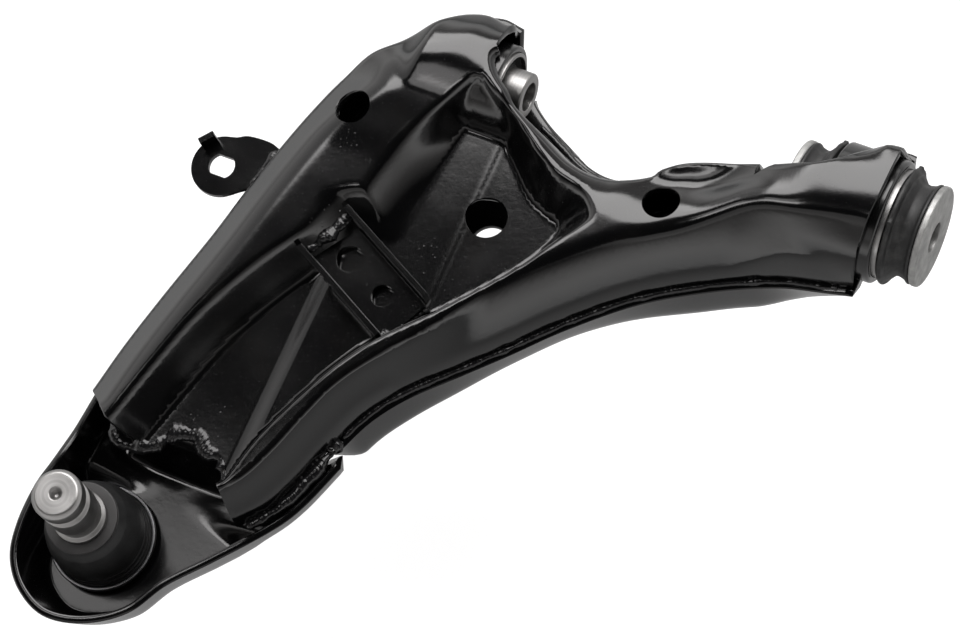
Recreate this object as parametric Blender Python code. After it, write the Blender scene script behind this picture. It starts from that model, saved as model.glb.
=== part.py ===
"""Stamped-steel suspension control arm with two rubber bushes and a pinch-type ball joint.

Working frame, in millimetres until a mesh is made: +X runs along the pivot axis from the front
bush to the rear bush, +Y points inboard and +Z points up, with Z = 0 on the pivot axis. Every mesh
is then moved by FRAME_SHIFT, so that the world origin is the centre of the bounding box.
"""

import math

import bmesh
import bpy
import numpy as np
from mathutils import geometry

MM = 0.001
FRAME_SHIFT = (-149.763, 156.382, 5.7)

# Pressed sheet
SHEET = 4.0
SEAM_Z = -6.5
TRAY_EDGE_Z = -9.0
CREST_Z = 26.0
FLOOR_Z = 2.0
TRAY_FLOOR_Z = -36.0
TRAY_FLARE = 0.24
TRAY_WAIST = (172.0, -118.0)
CUP_RIM_Z = -6.0
CUP_FLOOR_Z = -36.0
CUP_LAND_Z = -4.4
LEDGE = 4.3
EYE_LIFT = 1.2
TRAY_END_Y = -213.8
CUP_END_Y = -218.7
MESH_STEP = 8.0
TRAY_STEP = 14.0

# Front bush
FRONT_TUBE_R = 24.0
FRONT_TUBE_X = (62.0, 103.0)
FRONT_CLEAR_R = 14.0
FRONT_SLEEVE_R = 20.7
FRONT_SLEEVE_X = (63.5, 104.5)
FRONT_INNER_R = 12.75
FRONT_INNER_BORE_R = 7.9
FRONT_INNER_X = (52.5, 115.5)

# Rear bush
REAR_TUBE_R = 33.0
REAR_TUBE_X = (289.0, 323.0)
REAR_SLEEVE_R = 29.0
REAR_CENTRE_X = 307.0
REAR_PLATE_X = (268.0, 346.0)
REAR_PLATE_R = 27.0
REAR_PLATE_T = 4.0
REAR_LIP_R = 31.0
REAR_WAIST_R = 24.5
REAR_INNER_R = 14.0
REAR_BORE_R = 8.25

# Ball joint
BALL_X, BALL_Y, BALL_Z = -7.5, -299.0, -44.0
BALL_R = 15.0
STUD_R = 13.5
STUD_TOP_Z = 53.0
BOOT_TOP_Z = 9.0
BOOT_TOP_R = 19.6
BOOT_BASE_R = 27.0
HOUSING_R = 24.0

# Brackets
BRACKET_CENTRE = (79.5, -126.0)
BRACKET_ANGLE = math.radians(-26.6)
BRACKET_WIDTH = 35.0
BRACKET_LENGTH = 62.0
BRACKET_T = 3.0
BRACKET_FLOOR_Z = 10.0
BRACKET_TOP_Z = 23.0
LINK_CENTRE = (-25.0, -94.0)
LINK_R = 17.0
LINK_T = 3.0
LINK_Z = 3.0

SEGMENTS = 32

# Plan outlines of the sheet parts
RIGHT_SIDE = [(316, -38), (295, -42), (276, -47), (247, -60), (212, -81), (181, -108), (160, -130),
              (140, -150), (118, -172), (104, -192), (96, -212), (88, -236), (79, -256), (67, -271)]
OUTER_END = [(56, -257), (49, -243), (37, -237), (26, -232), (15, -237), (4, -248), (-9, -249),
             (-22, -241)]
LEFT_SIDE = [(-35.5, -233), (-30.5, -205), (-22.8, -172), (-12.8, -133), (-6.5, -104), (1, -74),
             (8, -50), (16, -28), (26, -9), (40, 4), (55, 18), (69, 31), (81, 35), (93, 33.5)]
INBOARD_SIDE = [(101, 13), (107.5, 0), (121, -9), (138, -17.5), (158, -27), (175, -29), (190, -24),
                (212, -9), (243, 1), (266, 7), (284, 14), (299, 27), (307, 36), (318, 38)]
FLOOR_LEFT = [(2, -252), (12, -216), (22, -184), (38, -150), (54, -126), (66, -111), (84, -99),
              (88, -70), (92, -35), (95, -13)]
FLOOR_RIGHT = [(97, -13), (122, -36), (139, -52), (150, -58), (162, -63), (158, -80), (146, -98),
               (124, -124), (98, -152), (84, -172), (74, -192), (61, -224), (54, -252)]
CUP_RIM = [(101, -218.7), (90.5, -247.5), (78.5, -268), (60, -290.5), (42, -311), (30, -331), (11, -344),
           (-9, -348), (-26, -341), (-37.5, -328), (-42, -311), (-42.2, -290), (-38.7, -270), (-35, -232),
           (-34, -218.7)]


def clear_scene():
    for obj in list(bpy.data.objects):
        bpy.data.objects.remove(obj, do_unlink=True)


def material(name, colour, metallic, roughness):
    mat = bpy.data.materials.new(name)
    mat.use_nodes = True
    shader = mat.node_tree.nodes["Principled BSDF"]
    shader.inputs["Base Color"].default_value = (*colour, 1.0)
    shader.inputs["Metallic"].default_value = metallic
    shader.inputs["Roughness"].default_value = roughness
    mat.diffuse_color = (*colour, 1.0)
    return mat


def add_object(name, points, faces, look, round_piece=False):
    """A mesh object at the joint-free origin, from points in millimetres in the working frame."""
    mesh = bpy.data.meshes.new(name)
    moved = (np.asarray(points, float) + FRAME_SHIFT) * MM
    mesh.from_pydata([tuple(p) for p in moved], [], [tuple(int(i) for i in f) for f in faces])
    mesh.materials.append(look)
    obj = bpy.data.objects.new(name, mesh)
    bpy.context.scene.collection.objects.link(obj)
    clean = bmesh.new()
    clean.from_mesh(mesh)
    bmesh.ops.recalc_face_normals(clean, faces=clean.faces)
    clean.to_mesh(mesh)
    clean.free()
    if round_piece:
        mesh.shade_smooth()
        mesh.set_sharp_from_angle(angle=math.radians(35))
    return obj


def set_origin(obj, point):
    """Moves the object's origin to a point in the working frame, leaving its mesh where it is."""
    shift = (np.asarray(point, float) + FRAME_SHIFT) * MM
    for vertex in obj.data.vertices:
        vertex.co.x -= shift[0]
        vertex.co.y -= shift[1]
        vertex.co.z -= shift[2]
    obj.location = tuple(shift)


def subtract(obj, cutter):
    cutter.hide_render = True
    cutter.display_type = "WIRE"
    cut = obj.modifiers.new("cut_" + cutter.name, "BOOLEAN")
    cut.operation = "DIFFERENCE"
    cut.solver = "EXACT"
    cut.object = cutter


# ---- curves and fields ----------------------------------------------------------------------


def spline(points, step, closed=False):
    """Evenly spaced points on a Catmull-Rom curve through the given ones."""
    pts = np.asarray(points, float)
    ends = (pts[-1:], pts[:1]) if closed else (2 * pts[:1] - pts[1:2], 2 * pts[-1:] - pts[-2:-1])
    tail = pts[1:2] if closed else pts[:0]
    ext = np.vstack([ends[0], pts, ends[1], tail])
    rows = []
    for i in range(len(ext) - 3):
        p0, p1, p2, p3 = ext[i : i + 4]
        t = np.linspace(0, 1, 24, endpoint=False)[:, None]
        rows.append(0.5 * (2 * p1 + (p2 - p0) * t + (2 * p0 - 5 * p1 + 4 * p2 - p3) * t**2
                           + (3 * p1 - p0 - 3 * p2 + p3) * t**3))
    dense = np.vstack(rows + ([] if closed else [pts[-1:]]))
    if closed:
        dense = np.vstack([dense, dense[:1]])
    run = np.r_[0, np.cumsum(np.linalg.norm(np.diff(dense, axis=0), axis=1))]
    count = max(2, int(round(run[-1] / step)))
    at = np.linspace(0, run[-1], count + 1)
    out = np.stack([np.interp(at, run, dense[:, k]) for k in range(2)], 1)
    return out[:-1] if closed else out


def distance(points, line):
    """Distance in plan from each point to a polyline."""
    best = np.full(len(points), np.inf)
    for a, b in zip(line[:-1], line[1:]):
        ab = b - a
        t = np.clip(((points - a) @ ab) / (ab @ ab), 0, 1)
        best = np.minimum(best, np.linalg.norm(points - a - t[:, None] * ab, axis=1))
    return best


def inside(points, loop):
    """Whether each point lies inside a closed loop."""
    x, y = points[:, 0], points[:, 1]
    found = np.zeros(len(points), bool)
    for (x0, y0), (x1, y1) in zip(loop, np.roll(loop, -1, axis=0)):
        if y0 == y1:
            continue
        crosses = (y0 > y) != (y1 > y)
        found ^= crosses & (x < (x1 - x0) * (y - y0) / (y1 - y0) + x0)
    return found


def smooth_min(a, b, radius):
    h = np.maximum(radius - np.abs(a - b), 0) / radius
    return np.minimum(a, b) - h * h * radius / 4


def smooth_max(a, b, radius):
    return -smooth_min(-a, -b, radius)


def ramp(value, low, high):
    t = np.clip((value - low) / (high - low), 0, 1)
    return t * t * (3 - 2 * t)


def mix(a, b, t):
    return a + (b - a) * t


SIDE_R = spline(RIGHT_SIDE, 3)
SIDE_L = spline(LEFT_SIDE, 3)
SIDE_I = spline(INBOARD_SIDE, 3)
FOOT_L = spline(FLOOR_LEFT, 3)
FOOT_R = spline(FLOOR_RIGHT, 3)
FLOOR_LOOP = np.vstack([FOOT_L, FOOT_R])
TRAY_SPAN = np.vstack([SIDE_R, [(60, -310), (-35, -310)], SIDE_L, SIDE_I])


def channel_rise(points):
    """Height of the channel and recess walls above their floor."""
    dl, dr = distance(points, FOOT_L), distance(points, FOOT_R)
    wl, wr = 1 / (dl + 0.5) ** 2, 1 / (dr + 0.5) ** 2
    flank = 24 / np.clip(2.5 + 0.4 * (-13 - points[:, 1]), 2.5, 34)
    slope_l = mix(1.45, flank, ramp(points[:, 1], -120, -92))
    slope_r = mix(3.0, 1.15, ramp(points[:, 1], -88, -55)) + 0.85 * ramp(points[:, 1], -40, -12)
    slope = (wl * slope_l + wr * slope_r) / (wl + wr)
    rise = slope * np.minimum(dl, dr)
    return np.where(inside(points, FLOOR_LOOP), 0, rise)


def upper_height(points):
    """Height of the upper shell's top surface."""
    x, y = points[:, 0], points[:, 1]
    dr, dl, di = (distance(points, side) for side in (SIDE_R, SIDE_L, SIDE_I))
    rear, eye, boss = ramp(x, 222, 268), ramp(x, 250, 285), 1 - ramp(x, 112, 142)
    bevel = smooth_min(-2 + 1.6 * dr, 14 + 1.05 * (dr - 10), 5)
    wide = smooth_min(SEAM_Z + 5 * dr, mix(bevel, 9 + 1.2 * dr, eye), 4)
    right = mix(SEAM_Z + 3.1 * dr, wide, ramp(x, 100, 150))
    left = smooth_min(SEAM_Z + 5.2 * dl, 14 + 4 * ramp(y, -30, -5) + 0.6 * (dl - 4), 7)
    base = mix(18 - 7 * ramp(x, 185, 215), 27, np.maximum(boss, rear)) + 4 * eye
    inboard = smooth_min(SEAM_Z + 5 * di, base + mix(0.53, 0.4, rear) * (di - 4), 7)
    crest = CREST_Z + 3 * (1 - ramp(x, 90, 140)) * ramp(y, -70, -25) + 9 * rear + 3 * eye
    top = smooth_min(smooth_min(right, left, 8), inboard, 9)
    top = smooth_min(top, crest, 7)
    top = smooth_min(top, FLOOR_Z + channel_rise(points), 6)
    front_fade = 20 * (1 - ramp(x, 42, 62)) + 60 * ramp(x, 112, 136)
    cover = np.sqrt(np.maximum((FRONT_TUBE_R + SHEET + EYE_LIFT) ** 2 - y**2, 0))
    top = smooth_max(top, cover - front_fade, 6)
    rear_fade = 16 * (1 - ramp(x, 236, 290))
    cover = np.sqrt(np.maximum((REAR_TUBE_R + SHEET + EYE_LIFT) ** 2 - y**2, 0))
    top = smooth_max(top, np.where(x > 200, cover - rear_fade, -60), 6)
    edge = np.minimum(np.minimum(dr, dl), di)
    return np.minimum(top, SEAM_Z + 9 * edge)


def tray_height(points):
    """Height of the lower shell's inner surface: a flat floor with steep walls on all sides."""
    d = np.minimum(np.minimum(distance(points, SIDE_R), distance(points, SIDE_L)),
                   distance(points, SIDE_I))
    d = np.maximum(d - (SHEET - LEDGE), 0)
    d = np.minimum(d, 0.5 * np.maximum(points[:, 1] - TRAY_END_Y, 0))
    x, y = points[:, 0], points[:, 1]
    rise = 24 * (ramp(x, 282, 318) * ramp(-y, 4, 30) + ramp(x, 60, 84) * ramp(y, 8, 26) * (x < 200))
    return smooth_max(TRAY_EDGE_Z - 6 * d, TRAY_FLOOR_Z + rise, 9)


def flare(points):
    """Leans the lower shell's outboard wall outwards towards its foot, except at its waist."""
    flat = points[:, :2]
    here = np.where(inside(flat, TRAY_SPAN), 1, -1) * distance(flat, SIDE_R)
    step = 0.5 * np.where(here < 0, -1, 1)
    slope = [(distance(flat + shift, SIDE_R) - distance(flat - shift, SIDE_R)) * step
             for shift in ((1, 0), (0, 1))]
    push = TRAY_FLARE * np.maximum(TRAY_EDGE_Z - points[:, 2], 0) * (1 - ramp(here, 6, 26))
    push *= ramp(points[:, 1], TRAY_END_Y, TRAY_END_Y + 14) * (1 - ramp(points[:, 0], 262, 296))
    push *= ramp(np.linalg.norm(flat - TRAY_WAIST, axis=1), 10, 90)
    moved = points.copy()
    moved[:, 0] -= push * slope[0]
    moved[:, 1] -= push * slope[1]
    return moved


def cup_height(points, wall):
    """Height of the outer-end cup's inner surface."""
    d = distance(points, wall)
    y = points[:, 1]
    inner = ramp(y, -306, -262)
    rim = mix(CUP_RIM_Z, TRAY_EDGE_Z, ramp(y, -276, -250))
    steep = rim - 4.5 * d
    gentle = mix(-70, -25, inner) - 0.38 * d
    low = smooth_max(smooth_max(steep, gentle, 6), np.full(len(points), CUP_FLOOR_Z), 8)
    out = np.where(inside(points, FLOOR_LOOP), 0, np.minimum(distance(points, FOOT_L),
                                                             distance(points, FOOT_R)))
    climb = CUP_FLOOR_Z + 2.6 * (y + 252)
    land = smooth_min(climb, CUP_LAND_Z - 1.6 * out, 5)
    return smooth_max(low, land, 5)


def inward(loop):
    """Unit normals of an anticlockwise or clockwise loop, pointing inside it."""
    along = np.roll(loop, -1, axis=0) - np.roll(loop, 1, axis=0)
    normal = np.stack([-along[:, 1], along[:, 0]], 1)
    normal /= np.linalg.norm(normal, axis=1)[:, None]
    area = np.sum(loop[:, 0] * np.roll(loop[:, 1], -1) - np.roll(loop[:, 0], -1) * loop[:, 1])
    return normal * np.sign(area)


def plan_points(loop, lines, offsets, step):
    """Points for a sheet's mesh: its loop, rows beside the given lines, and a filling grid."""
    kept = [loop]
    normal = inward(loop)
    for offset in offsets:
        row = loop + normal * offset
        clear = inside(row, loop) & (distance(row, np.vstack([loop, loop[:1]])) > 0.93 * offset)
        kept.append(row[clear])
    rows = np.vstack(kept)
    for line in lines:
        near = np.linalg.norm(line[:, None] - rows[None], axis=2).min(axis=1)
        ok = inside(line, loop) & (near > 0.35 * step)
        rows = np.vstack([rows, line[ok]])
    low, high = loop.min(axis=0), loop.max(axis=0)
    grid = []
    for j, gy in enumerate(np.arange(low[1], high[1], step * 0.87)):
        gx = np.arange(low[0] + (j % 2) * step / 2, high[0], step)
        grid.append(np.stack([gx, np.full(len(gx), gy)], 1))
    grid = np.vstack(grid)
    grid = grid[inside(grid, loop)]
    near = np.linalg.norm(grid[:, None] - rows[None], axis=2).min(axis=1)
    return np.vstack([rows, grid[near > 0.62 * step]])


def sheet(name, loop, height, look, lines=(), offsets=(1.5, 4, 8, 14), lift=0.0, thick=SHEET,
          step=MESH_STEP, reshape=None):
    """A pressed sheet: the height field over a loop, thickened downwards into one closed body."""
    points = plan_points(loop, lines, offsets, step)
    count = len(loop)
    made = geometry.delaunay_2d_cdt([tuple(p) for p in points], [], [list(range(count))], 1, 1e-5)
    flat = np.array([tuple(v) for v in made[0]])
    faces = [list(f) for f in made[2]]
    top = np.column_stack([flat, height(flat) + lift])
    under = top - thick * normals_of(top, faces)
    rim = [e for e in open_edges(faces)]
    n = len(top)
    body = faces + [[i + n for i in reversed(f)] for f in faces]
    body += [[b, a, a + n, b + n] for a, b in rim]
    points = np.vstack([top, under])
    obj = add_object(name, reshape(points) if reshape else points, body, look)
    obj.data.shade_smooth()
    obj.data.set_sharp_from_angle(angle=math.radians(50))
    return obj


def normals_of(points, faces):
    """Area-weighted vertex normals, pointing up."""
    out = np.zeros_like(points)
    for face in faces:
        a, b, c = (points[i] for i in face[:3])
        normal = np.cross(b - a, c - a)
        normal *= np.sign(normal[2]) or 1
        for i in face:
            out[i] += normal
    return out / np.linalg.norm(out, axis=1)[:, None]


def open_edges(faces):
    """Directed edges that only one face uses."""
    seen = {(f[i], f[(i + 1) % len(f)]) for f in faces for i in range(len(f))}
    return sorted((a, b) for a, b in seen if (b, a) not in seen)


# ---- round pieces ---------------------------------------------------------------------------


def turned(name, profile, centre, axis, look, segments=SEGMENTS):
    """A closed body of revolution from a closed (radius, along) profile; a zero radius closes it."""
    rings, points, faces = [], [], []
    for radius, along in profile:
        if radius < 1e-6:
            rings.append([len(points)])
            points.append((0, 0, along))
            continue
        rings.append(list(range(len(points), len(points) + segments)))
        for k in range(segments):
            turn = 2 * math.pi * k / segments
            points.append((radius * math.cos(turn), radius * math.sin(turn), along))
    for a, b in zip(rings, rings[1:] + rings[:1]):
        if len(a) == 1 and len(b) == 1:
            continue
        for k in range(segments):
            quad = [a[k % len(a)], a[(k + 1) % len(a)], b[(k + 1) % len(b)], b[k % len(b)]]
            faces.append(list(dict.fromkeys(quad)))
    points = np.array(points, float)
    if axis == "X":
        points = points[:, [2, 0, 1]]
    return add_object(name, points + np.asarray(centre, float), faces, look, round_piece=True)


def cylinder_cutter(name, radius, low, high, centre, axis, segments=SEGMENTS):
    shape = [(0, low), (radius, low), (radius, high), (0, high)]
    return turned(name, shape, centre, axis, bpy.data.materials["cutter"], segments)


def ring(inner, outer, low, high, chamfer=0.0):
    """Closed profile of a plain ring, with optional outer chamfers."""
    c = chamfer
    if c == 0:
        return [(inner, low), (outer, low), (outer, high), (inner, high)]
    return [(inner, low), (outer - c, low), (outer, low + c), (outer, high - c), (outer - c, high),
            (inner, high)]


def prism(name, outline, low, high, look):
    """A flat plate: a plan outline between two heights."""
    n = len(outline)
    points = [(x, y, low) for x, y in outline] + [(x, y, high) for x, y in outline]
    faces = [list(range(n))[::-1], list(range(n, 2 * n))]
    faces += [[i, (i + 1) % n, (i + 1) % n + n, i + n] for i in range(n)]
    return add_object(name, points, faces, look)


# ---- the pieces -----------------------------------------------------------------------------


def upper_loop(step):
    parts = [spline(RIGHT_SIDE, step), spline(OUTER_END, step), spline(LEFT_SIDE, step),
             spline([(97, 29), (101, 21)], step), spline(INBOARD_SIDE, step),
             spline([(319, 28), (319, 0), (317, -28)], step)]
    return np.vstack(parts)


def tray_loop(step):
    """Inner line of the lower shell's wall, just inside the upper shell's edge."""
    raw = np.vstack([trimmed(RIGHT_SIDE, step, TRAY_END_Y), trimmed(LEFT_SIDE, step, TRAY_END_Y),
                     spline(INBOARD_SIDE, step)])
    return raw + inward(raw) * (SHEET - LEDGE)


def trimmed(points, step, low_y):
    """Evenly spaced points on the part of a curve whose Y is above a limit."""
    fine = spline(points, 0.5)
    fine = fine[fine[:, 1] > low_y]
    run = np.r_[0, np.cumsum(np.linalg.norm(np.diff(fine, axis=0), axis=1))]
    at = np.linspace(0, run[-1], max(2, int(round(run[-1] / step))) + 1)
    return np.stack([np.interp(at, run, fine[:, k]) for k in range(2)], 1)


def add_shells(paint):
    """The three pressed shells. Returns the clearance solid that trims the damper bracket."""
    loop = upper_loop(MESH_STEP)
    lines = [spline(FLOOR_LEFT, MESH_STEP), spline(FLOOR_RIGHT, MESH_STEP)]
    hidden = bpy.data.materials["cutter"]
    upper = sheet("upper_shell", loop, upper_height, paint, lines)
    guide = sheet("bracket_clearance", loop, upper_height, hidden, lines, lift=0.45, thick=9)
    lower = sheet("lower_shell", tray_loop(TRAY_STEP), tray_height, paint, offsets=(1.5, 4, 8),
                  step=TRAY_STEP, reshape=flare)
    rim = spline(CUP_RIM, MESH_STEP)
    wall = spline(CUP_RIM, 3)
    end = spline([(x, CUP_END_Y) for x in (-26, 0, 40, 90)], MESH_STEP)
    cup = sheet("outer_end_cup", np.vstack([rim, end]), lambda p: cup_height(p, wall), paint,
                offsets=(1.5, 3.5, 7, 12))
    near = FRONT_TUBE_X[0] - 1
    clear = [(0, -20), (FRONT_CLEAR_R, -20), (FRONT_CLEAR_R, near), (FRONT_TUBE_R + 0.3, near),
             (FRONT_TUBE_R + 0.3, 150), (0, 150)]
    front = turned("front_eye_cut", clear, (0, 0, 0), "X", hidden)
    step = REAR_TUBE_X[0] - 1.3
    clear = [(0, 252), (REAR_PLATE_R + 1.2, 252), (REAR_PLATE_R + 1.2, step - 6.5),
             (REAR_LIP_R + 1.2, step - 6.5), (REAR_LIP_R + 1.2, step), (REAR_TUBE_R + 0.3, step),
             (REAR_TUBE_R + 0.3, 340), (0, 340)]
    rear = turned("rear_eye_cut", clear, (0, 0, 0), "X", hidden)
    for shell in (upper, lower):
        subtract(shell, front)
        subtract(shell, rear)
    holes = [("hole_front", (37, -45), 10), ("hole_rear", (212, -37), 10),
             ("hole_recess", (123, -71), 11.3)]
    for name, (x, y), radius in holes:
        subtract(upper, cylinder_cutter(name, radius, -12, 60, (x, y, 0), "Z"))
    subtract(lower, cylinder_cutter("hole_lower", 11.3, -60, -20, (118, -74, 0), "Z"))
    seat = cylinder_cutter("hole_joint", HOUSING_R + 0.3, -60, -20, (BALL_X, BALL_Y, 0), "Z")
    subtract(cup, seat)
    return guide


def add_front_bush(paint, steel, rubber):
    axis = (0, 0, 0)
    tube = ring(FRONT_SLEEVE_R + 0.3, FRONT_TUBE_R, *FRONT_TUBE_X, 0.8)
    turned("front_eye_tube", tube, axis, "X", paint)
    sleeve = ring(FRONT_SLEEVE_R - 2, FRONT_SLEEVE_R, *FRONT_SLEEVE_X, 0.5)
    turned("front_bush_outer_sleeve", sleeve, axis, "X", steel)
    low, high = FRONT_SLEEVE_X[0] + 1, FRONT_SLEEVE_X[1] - 1
    hub, wall, mid = FRONT_INNER_R + 0.3, FRONT_SLEEVE_R - 2.3, (low + high) / 2
    waist = (hub + wall) / 2
    shape = [(hub, low), (waist, low + 5), (wall, low + 1), (wall, mid), (wall, high - 1),
             (waist, high - 5), (hub, high)]
    turned("front_bush_rubber", shape, axis, "X", rubber)
    inner = turned("front_bush_inner_sleeve", ring(FRONT_INNER_BORE_R, FRONT_INNER_R,
                                                   *FRONT_INNER_X, 0.8), axis, "X", steel)
    set_origin(inner, ((FRONT_INNER_X[0] + FRONT_INNER_X[1]) / 2, 0, 0))


def rear_rubber_profile(side):
    """One rubber end of the rear bush: lip at the sleeve, concave waist, bead at the end plate."""
    plate = REAR_PLATE_X[1] - REAR_PLATE_T - 0.3
    hub = REAR_INNER_R + 0.3
    flange = REAR_CENTRE_X + 19.4
    shape = [(hub, flange), (REAR_LIP_R, flange), (REAR_LIP_R + 0.6, flange + 1.8),
             (REAR_LIP_R - 1.2, flange + 3.6), (REAR_WAIST_R + 1.6, flange + 5.4),
             (REAR_WAIST_R, flange + 8.6), (REAR_WAIST_R + 0.7, flange + 11.6),
             (REAR_PLATE_R - 0.4, plate), (hub, plate)]
    if side > 0:
        return shape
    return [(r, 2 * REAR_CENTRE_X - x) for r, x in reversed(shape)]


def add_rear_bush(paint, steel, plate_steel, rubber):
    axis = (0, 0, 0)
    tube = ring(REAR_SLEEVE_R + 0.3, REAR_TUBE_R, *REAR_TUBE_X, 1.2)
    turned("rear_eye_tube", tube, axis, "X", paint)
    half = 18.8
    sleeve = ring(REAR_SLEEVE_R - 2, REAR_SLEEVE_R, REAR_CENTRE_X - half, REAR_CENTRE_X + half, 0.5)
    turned("rear_bush_outer_sleeve", sleeve, axis, "X", steel)
    core = ring(REAR_INNER_R + 0.3, REAR_SLEEVE_R - 2.3, REAR_CENTRE_X - half + 0.3,
                REAR_CENTRE_X + half - 0.3)
    turned("rear_bush_rubber_core", core, axis, "X", rubber)
    turned("rear_bush_rubber_outer_end", rear_rubber_profile(1), axis, "X", rubber)
    turned("rear_bush_rubber_inner_end", rear_rubber_profile(-1), axis, "X", rubber)
    low, high = REAR_PLATE_X
    centre = (REAR_CENTRE_X, 0, 0)
    tube = turned("rear_bush_inner_sleeve", ring(REAR_BORE_R, REAR_INNER_R, low + REAR_PLATE_T + 0.3,
                                                 high - REAR_PLATE_T - 0.3), axis, "X", steel)
    set_origin(tube, centre)
    for name, x0 in (("rear_bush_inner_plate", low), ("rear_bush_outer_plate", high - REAR_PLATE_T)):
        plate = turned(name, ring(REAR_BORE_R, REAR_PLATE_R, x0, x0 + REAR_PLATE_T, 0.7),
                       axis, "X", plate_steel)
        set_origin(plate, centre)


def ball_arc(radius, low, high, steps):
    """Points on a sphere about the ball centre, between two heights above it."""
    turns = np.linspace(math.asin(low / radius), math.asin(high / radius), steps)
    return [(radius * math.cos(t), BALL_Z + radius * math.sin(t)) for t in turns]


def add_ball_joint(paint, steel, plastic, rubber):
    centre = (BALL_X, BALL_Y, 0)
    z = BALL_Z
    socket = BALL_R + 4.3
    body = [(socket, z - 15), (HOUSING_R + 3.5, z - 15), (HOUSING_R + 4.5, z - 13),
            (HOUSING_R + 4.5, CUP_FLOOR_Z - SHEET - 0.4), (HOUSING_R, CUP_FLOOR_Z - SHEET - 0.4),
            (HOUSING_R, CUP_FLOOR_Z + 3.2), (HOUSING_R - 1.2, CUP_FLOOR_Z + 4.2),
            (HOUSING_R, CUP_FLOOR_Z + 5.4), (HOUSING_R, CUP_FLOOR_Z + 9.5),
            (17.4, CUP_FLOOR_Z + 9.5), (16.0, z + 14.4), (socket, z + 14.4)]
    turned("ball_joint_housing", body, centre, "Z", paint)
    seat = socket - 0.3
    upper = ball_arc(BALL_R + 0.25, 0.3, 6.2, 6)
    turned("ball_joint_upper_seat", upper + [(seat, z + 13.9), (seat, z + 0.3)], centre, "Z", plastic)
    lower = ball_arc(BALL_R + 0.25, -10.5, -0.3, 6)
    turned("ball_joint_lower_seat", [(seat, z - 11.5)] + lower[:1] + lower[1:]
           + [(seat, z - 0.3)], centre, "Z", plastic)
    spring = [(6, z - 16.6), (seat - 1, z - 13.2), (seat - 1, z - 12.1), (6, z - 15.5)]
    turned("ball_joint_disc_spring", spring, centre, "Z", steel)
    cover = [(0, z - 20.4), (socket + 2, z - 20.4), (socket + 2, z - 15.4), (socket - 2.5, z - 15.4),
             (socket - 2.5, z - 17.9), (0, z - 17.9)]
    turned("ball_joint_cover", cover, centre, "Z", steel)
    clip = ring(HOUSING_R + 0.3, HOUSING_R + 2.6, CUP_FLOOR_Z + 1.4, CUP_FLOOR_Z + 3.0)
    turned("housing_snap_ring", clip, centre, "Z", steel)
    stud = stud_profile()
    set_origin(turned("ball_stud", stud, centre, "Z", steel), (BALL_X, BALL_Y, BALL_Z))
    add_boot(centre, rubber, steel)


def stud_profile():
    """Ball, tapered neck, seat collar, then the clamped cylinder with its pinch-bolt groove."""
    ball = ball_arc(BALL_R, -BALL_R, 11.8, 9)
    ball[0] = (0, BALL_Z - BALL_R)
    top = STUD_TOP_Z
    return ball + [(8.4, BALL_Z + 17), (9.8, BOOT_TOP_Z - 6), (9.8, BOOT_TOP_Z + 0.4),
                   (STUD_R + 1.0, BOOT_TOP_Z + 0.4),
                   (STUD_R + 1.0, BOOT_TOP_Z + 3.4), (STUD_R - 1.6, BOOT_TOP_Z + 4.2),
                   (STUD_R - 1.6, top - 31), (STUD_R, top - 30), (STUD_R, top - 16),
                   (STUD_R - 1.7, top - 14.6), (STUD_R - 1.7, top - 11), (STUD_R, top - 9.6),
                   (STUD_R, top - 2), (STUD_R - 2, top), (2.6, top), (0, top - 2.2)]


def add_boot(centre, rubber, steel):
    base = CUP_FLOOR_Z + 4
    wall = 2.2
    outer = [(BOOT_BASE_R, base + 0.2), (BOOT_BASE_R, base + 3.6), (BOOT_BASE_R - 0.5, -26),
             (BOOT_BASE_R - 1.0, -18), (24.2, -8), (22.2, 0), (BOOT_TOP_R + 0.4, 6.4),
             (BOOT_TOP_R, BOOT_TOP_Z - 2.4)]
    inner = [(12.6, BOOT_TOP_Z - 2.4), (12.6, BOOT_TOP_Z - 5), (BOOT_TOP_R - wall, BOOT_TOP_Z - 6)]
    inner += [(22.2 - wall, -1), (24.2 - wall, -9), (HOUSING_R + 0.9, -18.5),
              (HOUSING_R + 0.5, base + 0.2)]
    turned("dust_boot", outer + inner, centre, "Z", rubber)
    cap = [(10.4, BOOT_TOP_Z - 2.1), (BOOT_TOP_R, BOOT_TOP_Z - 2.1), (BOOT_TOP_R, BOOT_TOP_Z - 0.6),
           (BOOT_TOP_R - 0.6, BOOT_TOP_Z), (10.4, BOOT_TOP_Z)]
    set_origin(turned("boot_top_ring", cap, centre, "Z", rubber), (BALL_X, BALL_Y, BALL_Z))
    clamp = ring(BOOT_BASE_R + 0.3, BOOT_BASE_R + 2, base + 0.4, base + 3.2, 0.4)
    turned("boot_base_clamp", clamp, centre, "Z", steel)


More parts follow.
